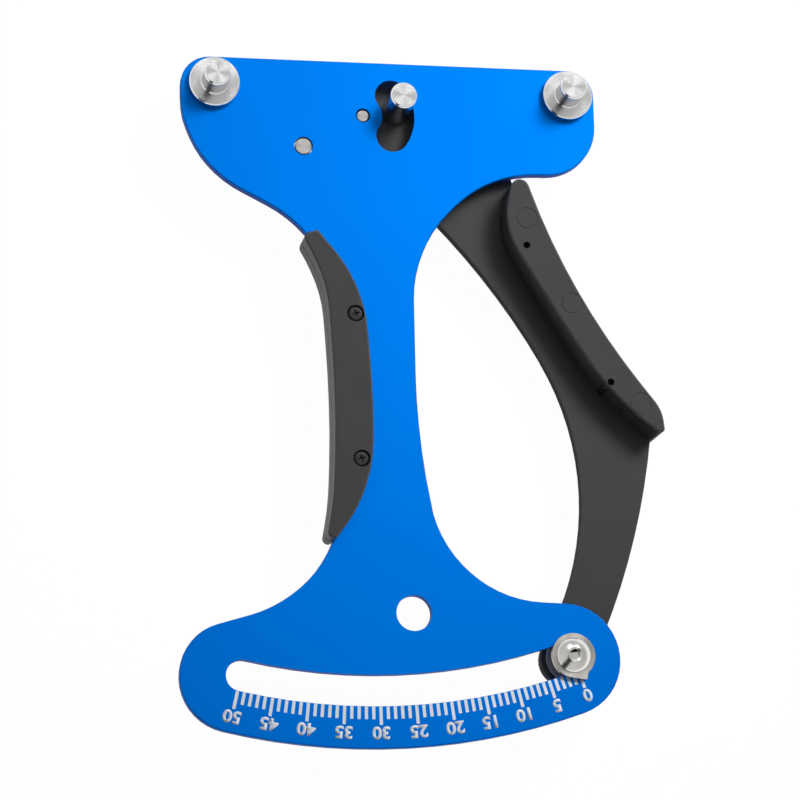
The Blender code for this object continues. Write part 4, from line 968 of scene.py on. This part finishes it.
spring_wire, wire_tree, wire_shader = new_finish("spring_wire", (0.5, 0.5, 0.52), 0.3, 1.0)
wire_grain = add_effect(wire_tree, grain, Grain_Size=0.5, Patch_Size=3.0)
wire_face = blend_colours(wire_tree, wire_grain.outputs["Patches"], (0.38, 0.38, 0.40), (0.60, 0.60, 0.62))
wire_tree.links.new(wire_face, wire_shader.inputs["Base Color"])
wire_tree.links.new(spread(wire_tree, wire_grain.outputs["Height"], 0.22, 0.40),
                    wire_shader.inputs["Roughness"])
raise_bump(wire_tree, wire_shader, wire_grain.outputs["Height"], 0.006 * MM)
spring.data.materials.clear()
spring.data.materials.append(spring_wire)
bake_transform(spring)
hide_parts("torsion_spring")


# Pointer: a round steel plate with a fin-shaped point that runs along the marks. A button-head screw
# clamps it and its spacer to the lever through the slot, with a nut behind.
pointer_centre = middle_of("pointer_spacer")[0]
pointer_steel = turned_steel("turned_steel_pointer", pointer_centre, (0.64, 0.61, 0.57), 0.3)
spacer = turn_ring("steel_pointer_spacer", "pointer_spacer", 2.3 * MM, 3.8 * MM)
fit(spacer, "lever", pointer_steel, "turned_steel", "pointer_spacer")
ribbed_nylon, rib_tree, rib_shader = new_finish("ribbed_nylon", (0.36, 0.36, 0.44), 0.4)
rib_place = rib_tree.nodes.new("ShaderNodeTexCoord")
rib_height = rib_tree.nodes.new("ShaderNodeSeparateXYZ")
rib_tree.links.new(rib_place.outputs["Object"], rib_height.inputs[0])
RIB_PITCH = 0.55 * MM
rib_wave = calculate(rib_tree, "SINE", calculate(rib_tree, "MULTIPLY", rib_height.outputs["Z"],
                                                 math.tau / RIB_PITCH))
rib_lift_and_painted_shade = calculate(rib_tree, "MULTIPLY_ADD", rib_wave, 0.5, 0.5)
# Painted shade and highlight: the ribs' valleys are painted dark and their tops light, on the same wave that
# raises them
rib_tree.links.new(blend_colours(rib_tree, rib_lift_and_painted_shade, (0.16, 0.16, 0.22), (0.46, 0.46, 0.56)),
                   rib_shader.inputs["Base Color"])
raise_bump(rib_tree, rib_shader, rib_lift_and_painted_shade, 0.05 * MM)
glide_washer = turn_ring("nylon_glide_washer", "glide_washer", 4.1 * MM, 6.1 * MM)
fit(glide_washer, "lever", ribbed_nylon, "nylon", "glide_washer")
back_washer = turn_ring("steel_back_washer", "pointer_back_washer", 2.3 * MM, 4.5 * MM)
fit(back_washer, "lever", pointer_steel, "turned_steel", "pointer_back_washer")

FIN_TURN = math.radians(8.0)
FLANK_RADIUS = 2.5 * MM
FLANK_REACH = 8.4 * MM
FLANK_DIRECTION = math.radians(47.0)
pointer_plate = merged_copy("pointer_plate", "steel_pointer_plate")
only(pointer_plate)
pointer_plate.rotation_mode = "XYZ"
pointer_plate.rotation_euler = (0, 0, FIN_TURN)
turned_away = Matrix.Rotation(FIN_TURN, 3, "Z") @ Vector((*pointer_centre, 0))
pointer_plate.location = Vector((*pointer_centre, 0)) - turned_away
bpy.ops.object.transform_apply(location=True, rotation=True, scale=True)
flank_centre = (pointer_centre[0] + FLANK_REACH * math.sin(FLANK_DIRECTION),
                pointer_centre[1] - FLANK_REACH * math.cos(FLANK_DIRECTION))
carve(pointer_plate, turn_piece("hollow_flank", flank_centre, [
    (FLANK_RADIUS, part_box("pointer_plate")[0][2] - 1.0 * MM),
    (FLANK_RADIUS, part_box("pointer_plate")[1][2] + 1.0 * MM),
]))
soften(pointer_plate, 0.22 * MM, 3)
fit(pointer_plate, "lever", pointer_steel, "turned_steel", "pointer_plate")

screw_centre, screw_low, screw_high = middle_of("pointer_screw")
HEAD_RADIUS = 4.5 * MM
HEAD_HEIGHT = 2.0 * MM
HEAD_RIM = 0.3 * MM
SOCKET_MOUTH = 1.9 * MM
DOME_STEPS = 10
head_low = screw_high - HEAD_HEIGHT
dome_rise = HEAD_HEIGHT - HEAD_RIM
dome_ball = (HEAD_RADIUS ** 2 + dome_rise ** 2) / (2 * dome_rise)
rim_lean = math.asin(HEAD_RADIUS / dome_ball)
mouth_lean = math.asin(SOCKET_MOUTH / dome_ball)
dome = []
for step in range(DOME_STEPS + 1):
    lean = rim_lean + (mouth_lean - rim_lean) * step / DOME_STEPS
    dome.append((dome_ball * math.sin(lean), screw_high - dome_ball * (1 - math.cos(lean))))
mouth_top = dome[-1][1]
pointer_screw = turn_piece("button_head_screw", screw_centre, [
    (1.7 * MM, screw_low),
    (2.0 * MM, screw_low + 0.3 * MM),
    (2.0 * MM, head_low),
    (HEAD_RADIUS - 0.1 * MM, head_low),
    (HEAD_RADIUS, head_low + 0.1 * MM),
] + dome + [(1.5 * MM, mouth_top - 0.22 * MM)], 96)
carve(pointer_screw, hexagon_cutter(screw_centre, 2.5 * MM, screw_high - 1.4 * MM, screw_high + 1.0 * MM))
soften(pointer_screw, 0.05 * MM)
button_steel = turned_steel("polished_button_head", screw_centre, (0.74, 0.73, 0.71), 0.20, 0.0004)
button_steel.node_tree.nodes["Principled BSDF"].inputs["Anisotropic"].default_value = 0.3
fit(pointer_screw, "lever", button_steel, "turned_steel", "pointer_screw")

nut_centre, nut_low, nut_high = middle_of("pointer_nut")
NUT_FLATS = 7.0 * MM
NUT_CHAMFER_HEIGHT = 0.55 * MM
nut = hexagon_cutter(nut_centre, NUT_FLATS, nut_low, nut_high)
nut.name = "hexagon_nut"
cone = turn_piece("nut_chamfer", nut_centre, [
    (3.3 * MM, nut_low),
    (4.3 * MM, nut_low + NUT_CHAMFER_HEIGHT),
    (4.3 * MM, nut_high - NUT_CHAMFER_HEIGHT),
    (3.3 * MM, nut_high),
])
only(nut)
rounding_off = nut.modifiers.new("rounding_off", "BOOLEAN")
rounding_off.operation = "INTERSECT"
rounding_off.solver = "EXACT"
rounding_off.object = cone
bpy.ops.object.modifier_apply(modifier=rounding_off.name)
bpy.data.objects.remove(cone, do_unlink=True)
carve(nut, turn_piece("nut_bore", nut_centre, [
    (2.9 * MM, nut_low - 0.2 * MM),
    (2.3 * MM, nut_low + 0.4 * MM),
    (2.3 * MM, nut_high - 0.4 * MM),
    (2.9 * MM, nut_high + 0.2 * MM),
]))
soften(nut, 0.05 * MM)
fit(nut, "lever", pointer_steel, "turned_steel", "pointer_nut")


import json
